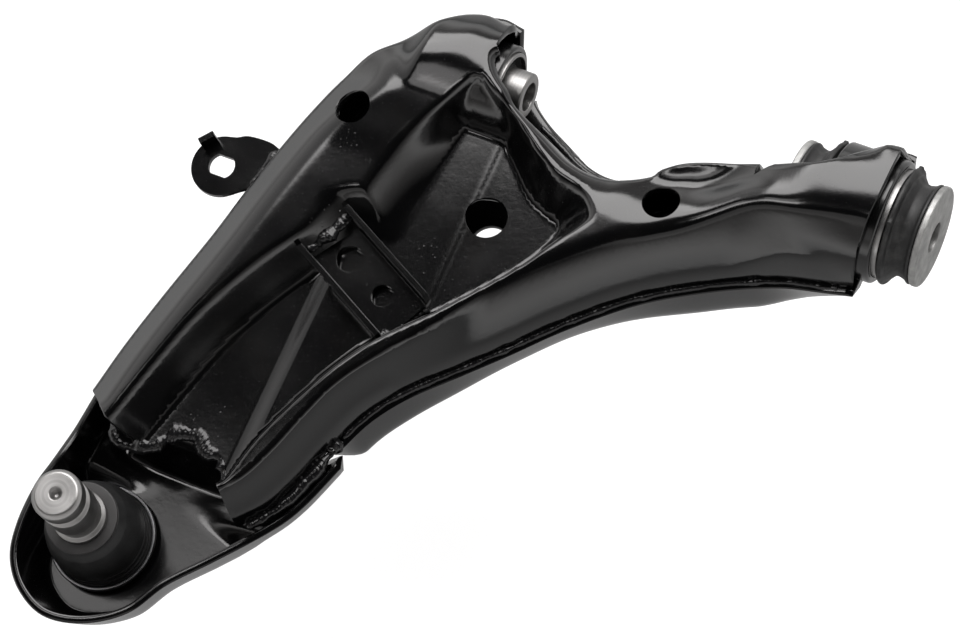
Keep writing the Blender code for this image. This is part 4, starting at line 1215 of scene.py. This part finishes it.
def add_spatter():
    """Small weld droplets stuck to the sheet around the bracket and its welds."""
    rng = np.random.default_rng(21)
    spots = []
    for centre, spread, count in ((bracket_point(34, 0, 0), 16, 26), (bracket_point(-34, 0, 0), 16, 26),
                                  ((30, -228, 0), 14, 18), ((44, -62, 0), 9, 12), ((100, -100, 0), 14, 16)):
        spots.append(rng.normal(0, 1, (count, 2)) * spread * 0.5 + centre[:2])
    spots = np.vstack(spots)
    spots = spots[inside(spots, upper_loop(4.0)) & (distance(spots, SIDE_R) > 9)
                  & (distance(spots, SIDE_L) > 9)]
    for centre, radius in TOP_HOLES:
        spots = spots[np.linalg.norm(spots - np.array(centre), axis=1) > radius + 2]
    base = on_top(spots, 0.1)
    sizes = 0.28 + 0.5 * rng.random(len(spots)) ** 2
    made = bmesh.new()
    for point, size in zip(base, sizes):
        bmesh.ops.create_icosphere(made, subdivisions=2, radius=size * MM,
                                   matrix=Matrix.Translation(row(point)) @ Matrix.Diagonal((1, 1, 0.6, 1)))
    mesh = bpy.data.meshes.new("weld_spatter")
    made.to_mesh(mesh)
    made.free()
    mesh.materials.append(WELD)
    mesh.shade_smooth()
    obj = bpy.data.objects.new("weld_spatter", mesh)
    bpy.context.scene.collection.objects.link(obj)
    settle(obj, "arm")


def dress_cad_nodes():
    """Materials for the CAD nodes that stay as they are."""
    looks = {"rear_bush_rubber_core": RUBBER, "rear_bush_inner_sleeve": SLEEVE_STEEL,
             "ball_joint_upper_seat": POLYMER, "ball_joint_lower_seat": POLYMER,
             "ball_joint_disc_spring": JOINT_STEEL, "housing_snap_ring": JOINT_STEEL}
    for name, look in looks.items():
        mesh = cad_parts[name].data
        mesh.materials.clear()
        mesh.materials.append(look)


# ---- studio ---------------------------------------------------------------------------------


def add_floor():
    z = float(cad_low.z) - 0.12
    mesh = bpy.data.meshes.new("studio_floor")
    s = 6.0
    mesh.from_pydata([(-s, -s, z), (s, -s, z), (s, s, z), (-s, s, z)], [], [(0, 1, 2, 3)])
    obj = bpy.data.objects.new("studio_floor", mesh)
    bpy.context.scene.collection.objects.link(obj)
    mat = bpy.data.materials.new("pale_floor")
    mat.use_nodes = True
    shader = mat.node_tree.nodes["Principled BSDF"]
    shader.inputs["Base Color"].default_value = (0.25, 0.25, 0.25, 1)
    shader.inputs["Roughness"].default_value = 0.9
    shader.inputs["Emission Color"].default_value = (1, 1, 1, 1)
    path = mat.node_tree.nodes.new("ShaderNodeLightPath")
    glow = mat.node_tree.nodes.new("ShaderNodeMapRange")
    glow.inputs["To Min"].default_value = FLOOR_GLOW[0]
    glow.inputs["To Max"].default_value = FLOOR_GLOW[1]
    mat.node_tree.links.new(path.outputs["Is Camera Ray"], glow.inputs["Value"])
    mat.node_tree.links.new(glow.outputs["Result"], shader.inputs["Emission Strength"])
    mesh.materials.append(mat)


def add_world():
    """A pale horizon under a dark ceiling, so gloss surfaces get clear gradients."""
    world = bpy.data.worlds.new("studio")
    bpy.context.scene.world = world
    world.use_nodes = True
    tree = world.node_tree
    back = tree.nodes["Background"]
    coord = tree.nodes.new("ShaderNodeTexCoord")
    split = tree.nodes.new("ShaderNodeSeparateXYZ")
    tree.links.new(coord.outputs["Generated"], split.inputs[0])
    fade = tree.nodes.new("ShaderNodeValToRGB")
    fade.color_ramp.elements[0].position = 0.0
    fade.color_ramp.elements[0].color = (0.75, 0.75, 0.75, 1)
    fade.color_ramp.elements[1].position = 0.62
    fade.color_ramp.elements[1].color = (0.006, 0.006, 0.006, 1)
    wall = fade.color_ramp.elements.new(0.12)
    wall.color = (1.0, 0.985, 0.975, 1)
    wall = fade.color_ramp.elements.new(0.34)
    wall.color = (0.33, 0.32, 0.315, 1)
    tree.links.new(split.outputs["Z"], fade.inputs["Fac"])
    tree.links.new(fade.outputs["Color"], back.inputs["Color"])
    back.inputs["Strength"].default_value = 1.5


def soft_border(light):
    """Lets a softbox fade towards its border, as a diffuser does."""
    light.use_nodes = True
    tree = light.node_tree
    glow = tree.nodes["Emission"]
    spot = tree.nodes.new("ShaderNodeNewGeometry")
    split = tree.nodes.new("ShaderNodeSeparateXYZ")
    tree.links.new(spot.outputs["Parametric"], split.inputs[0])
    fades = []
    for name in ("X", "Y"):
        ping = tree.nodes.new("ShaderNodeMath")
        ping.operation = "PINGPONG"
        ping.inputs[1].default_value = 0.5
        fade = tree.nodes.new("ShaderNodeMapRange")
        fade.interpolation_type = "SMOOTHSTEP"
        fade.inputs["From Max"].default_value = 0.1
        tree.links.new(split.outputs[name], ping.inputs[0])
        tree.links.new(ping.outputs[0], fade.inputs["Value"])
        fades.append(fade)
    both = tree.nodes.new("ShaderNodeMath")
    both.operation = "MULTIPLY"
    for k, fade in enumerate(fades):
        tree.links.new(fade.outputs["Result"], both.inputs[k])
    tree.links.new(both.outputs[0], glow.inputs["Strength"])


def add_softbox(name, at, size, aim, energy, tint=(1, 1, 1)):
    light = bpy.data.lights.new(name, "AREA")
    soft_border(light)
    light.shape = "RECTANGLE"
    light.size, light.size_y = size
    light.energy = energy
    light.color = tint
    obj = bpy.data.objects.new(name, light)
    bpy.context.scene.collection.objects.link(obj)
    obj.location = at
    back = (np.array(at) - np.array(aim))
    back = back / np.linalg.norm(back)
    side = np.cross((0.0, 1.0, 0.001), back)
    side /= np.linalg.norm(side)
    up = np.cross(back, side)
    obj.rotation_mode = "QUATERNION"
    obj.rotation_quaternion = Matrix(np.column_stack([side, up, back]).tolist()).to_quaternion()


def add_lights():
    add_softbox("key_inboard", (-0.225, 1.265, 1.5), (2.85, 1.5), (-0.1, 0.1, 0), 72, (1.0, 0.985, 0.98))
    add_softbox("key_outboard", (-0.7, 0.03, 1.5), (0.5, 0.26), (-0.1, -0.1, 0), 0.8, (1.0, 0.98, 0.975))
    add_softbox("fill_boss", (-0.62, -0.23, 1.5), (0.7, 0.26), (-0.1, -0.1, 0), 3.0, (1.0, 0.98, 0.975))
    add_softbox("fill_front", (-1.75, 0.75, 1.15), (1.3, 1.7), (0, 0, 0), 5, (1.0, 0.985, 0.98))
    add_softbox("fill_outboard", (0.1, -1.5, 1.35), (2.2, 0.9), (0, 0, 0), 3.2, (1.0, 0.975, 0.965))


def add_camera():
    cam = bpy.data.cameras.new("photo_view")
    cam.sensor_width = 36
    cam.lens = CAMERA_LENS
    cam.clip_end = 20
    obj = bpy.data.objects.new("photo_view", cam)
    bpy.context.scene.collection.objects.link(obj)
    axes = np.array([(0.894, 0.406, -0.192), (-0.331, 0.884, 0.330), (0.303, -0.232, 0.924)])
    u, _, v = np.linalg.svd(axes)
    turn = Matrix((u @ v).T.tolist()).to_4x4()
    turn.translation = row(CAMERA_AT)
    obj.matrix_world = turn
    bpy.context.scene.camera = obj


def main():
    add_shells()
    add_front_bush()
    add_rear_bush()
    add_ball_joint()
    add_damper_bracket()
    add_link_bracket()
    add_welds()
    add_spatter()
    dress_cad_nodes()
    add_floor()
    add_world()
    add_lights()
    add_camera()
    bpy.context.scene.view_settings.view_transform = "Standard"


main()
